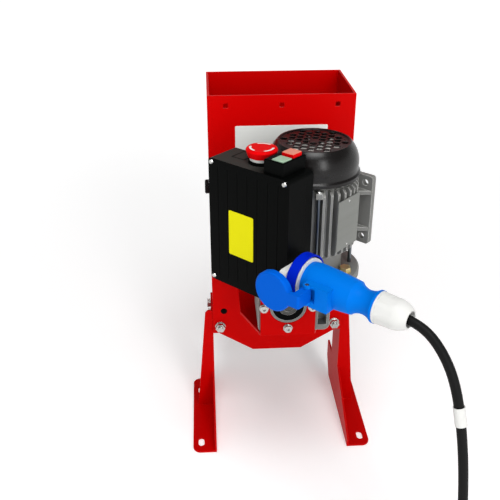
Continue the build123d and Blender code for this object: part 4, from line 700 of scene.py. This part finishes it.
# %% Arrows
ARROW_COUNT = 3
ARROW_STEPS = 14
ARROW_R = 13.8 * MM
ARROW_SWEEP = 76
FIRST_ARROW = -12
HEAD_FROM = 0.72
BAND_HALF = 1.4 * MM
HEAD_HALF = 2.4 * MM
ARROW_LIFT = 0.15 * MM

cap_low, cap_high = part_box("stop_cap")
cap_middle = (cap_low + cap_high) / 2


def flat_piece(name, corners, faces, made, body):
    """A flat mesh from its corners and faces that rides on a body."""
    mesh = bpy.data.meshes.new(name)
    mesh.from_pydata([tuple(corner) for corner in corners], [], faces)
    mesh.materials.append(made)
    return add_piece(name, mesh, body)


def arrow(name, start):
    """An arc band with a pointed end, clockwise as seen from above."""
    corners = []
    for step in range(ARROW_STEPS + 1):
        share = step / ARROW_STEPS
        angle = math.radians(start - ARROW_SWEEP * share)
        head = max(0.0, (share - HEAD_FROM) / (1 - HEAD_FROM))
        half = BAND_HALF if head == 0 else HEAD_HALF * (1 - head)
        for radius in (ARROW_R - half, ARROW_R + half):
            x = cap_middle.x + radius * math.cos(angle)
            y = cap_middle.y + radius * math.sin(angle)
            corners.append((x, y, cap_high.z + ARROW_LIFT))
    faces = [(2 * step, 2 * step + 1, 2 * step + 3, 2 * step + 2) for step in range(ARROW_STEPS)]
    return flat_piece(name, corners, faces, white_mould, "stop_mushroom")


for index in range(ARROW_COUNT):
    arrow(f"twist_arrow_{index}", FIRST_ARROW + 360 / ARROW_COUNT * index)
print("arrows:", ARROW_COUNT)

# %% [markdown]
# Knock-out in the lid
# The lid of the box has a thin square line, the weak line of a knock-out that can be broken out for one
# more switch. A groove would be a tenth of a millimetre deep, so a flat black frame on the lid stands in
# for the shade in it, a painted shade. It is measured along the box and outwards from the motor's axis.

# %% Knock-out in the lid
LID_OUT = Vector((LID_ALONG.y, -LID_ALONG.x, 0))
MARK_AT = Vector((-50.0, 75.6)) * MM
MARK_HALF = Vector((10.3, 11.9)) * MM
MARK_LINE = 1.7 * MM
MARK_LIFT = 0.1 * MM
SQUARE = ((-1, -1), (1, -1), (1, 1), (-1, 1))

shaft_low, shaft_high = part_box("motor_shaft")
motor_axis = (shaft_low + shaft_high) / 2
mark_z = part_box("box_cover")[1].z + MARK_LIFT


def lid_corner(half_along, half_out):
    """A corner of a rectangle on the lid, measured from its middle along the box and outwards."""
    place = LID_ALONG * (MARK_AT.x + half_along) + LID_OUT * (MARK_AT.y + half_out)
    return Vector((motor_axis.x + place.x, motor_axis.y + place.y, mark_z))


outer = [lid_corner(a * MARK_HALF.x, b * MARK_HALF.y) for a, b in SQUARE]
inner = [lid_corner(a * (MARK_HALF.x - MARK_LINE), b * (MARK_HALF.y - MARK_LINE)) for a, b in SQUARE]
sides = len(SQUARE)
mark_faces = [(side, (side + 1) % sides, (side + 1) % sides + sides, side + sides) for side in range(sides)]
# Painted shade: the black frame stands for the shade in the knock-out's groove.
flat_piece("lid_knockout", outer + inner, mark_faces, black_mould, "machine")
print("knock-out at", [round(value, 4) for value in sum(outer, Vector()) / len(outer)])

# %% [markdown]
# Rivets and a dome over a hole
# Two rivets hold the rating plate, and a black dome covers a hole in the front plate. Their heads are
# low domes, cut from a sphere and pressed flat, because a whole sphere would hide half of its faces in
# the plate. One function makes them at any place and turns them the way that their plate looks.

# %% Low domes
DOME_SIDES = 14
DOME_RINGS = 8
DOME_CUT = 0.01
DOME_RISE = 0.8 * MM


def dome(name, place, outward, radius, made):
    """A low round head that stands on a face."""
    shape = bmesh.new()
    bmesh.ops.create_uvsphere(shape, u_segments=DOME_SIDES, v_segments=DOME_RINGS, radius=1.0)
    whole = shape.verts[:] + shape.edges[:] + shape.faces[:]
    bmesh.ops.bisect_plane(shape, geom=whole, plane_co=(0, 0, DOME_CUT), plane_no=(0, 0, -1),
                           clear_outer=True)
    mesh = bpy.data.meshes.new(name)
    shape.to_mesh(mesh)
    shape.free()
    turn = outward.to_track_quat("Z", "Y").to_matrix().to_4x4()
    mesh.transform(Matrix.Translation(place) @ turn @ Matrix.Diagonal((radius, radius, DOME_RISE, 1.0)))
    mesh.materials.append(made)
    print(name, "has", len(mesh.polygons), "faces")
    return add_piece(name, mesh, "machine")


print("domes rise", DOME_RISE / MM, "mm")

# %% [markdown]
# The rivets sit in the middle of the plate's upper and lower edge. The plate stands askew round the
# motor, so its place is read from the CAD mesh: the outer face is the largest one that looks away from
# the motor's axis, and its corners are the ones that lie furthest that way.

# %% Rivets and a dome over a hole
RIVET_R = 1.7 * MM
RIVET_INSET = 4.5 * MM
FLAT_WITHIN = 0.1 * MM
HOLE_DOME_AT = (-83, 0, 187)
HOLE_DOME_R = 5.1 * MM


def outer_corners(name):
    """The corners of a flat plate's outer face, and the way that it looks."""
    mesh = nodes[name].data
    outward = [face for face in mesh.polygons
               if (face.center - motor_axis).to_2d().dot(face.normal.to_2d()) > 0]
    look = max(outward, key=lambda face: face.area).normal.copy()
    level = max(corner.co.dot(look) for corner in mesh.vertices)
    flat = [corner.co for corner in mesh.vertices if corner.co.dot(look) > level - FLAT_WITHIN]
    single = {tuple(round(part, 6) for part in corner) for corner in flat}
    return [Vector(corner) for corner in sorted(single)], look


plate_corners, plate_look = outer_corners("rating_plate")
plate_middle = sum(plate_corners, Vector()) / len(plate_corners)
plate_half = max(corner.z for corner in plate_corners) - plate_middle.z
for index, side in enumerate((1, -1)):
    place = plate_middle + Vector((0, 0, side * (plate_half - RIVET_INSET)))
    dome(f"plate_rivet_{index}", place, plate_look, RIVET_R, zinc)
# A black dome covers a hole in the front plate.
dome("hole_dome", spot(*HOLE_DOME_AT), Vector((0, -1, 0)), HOLE_DOME_R, black_mould)

# %% [markdown]
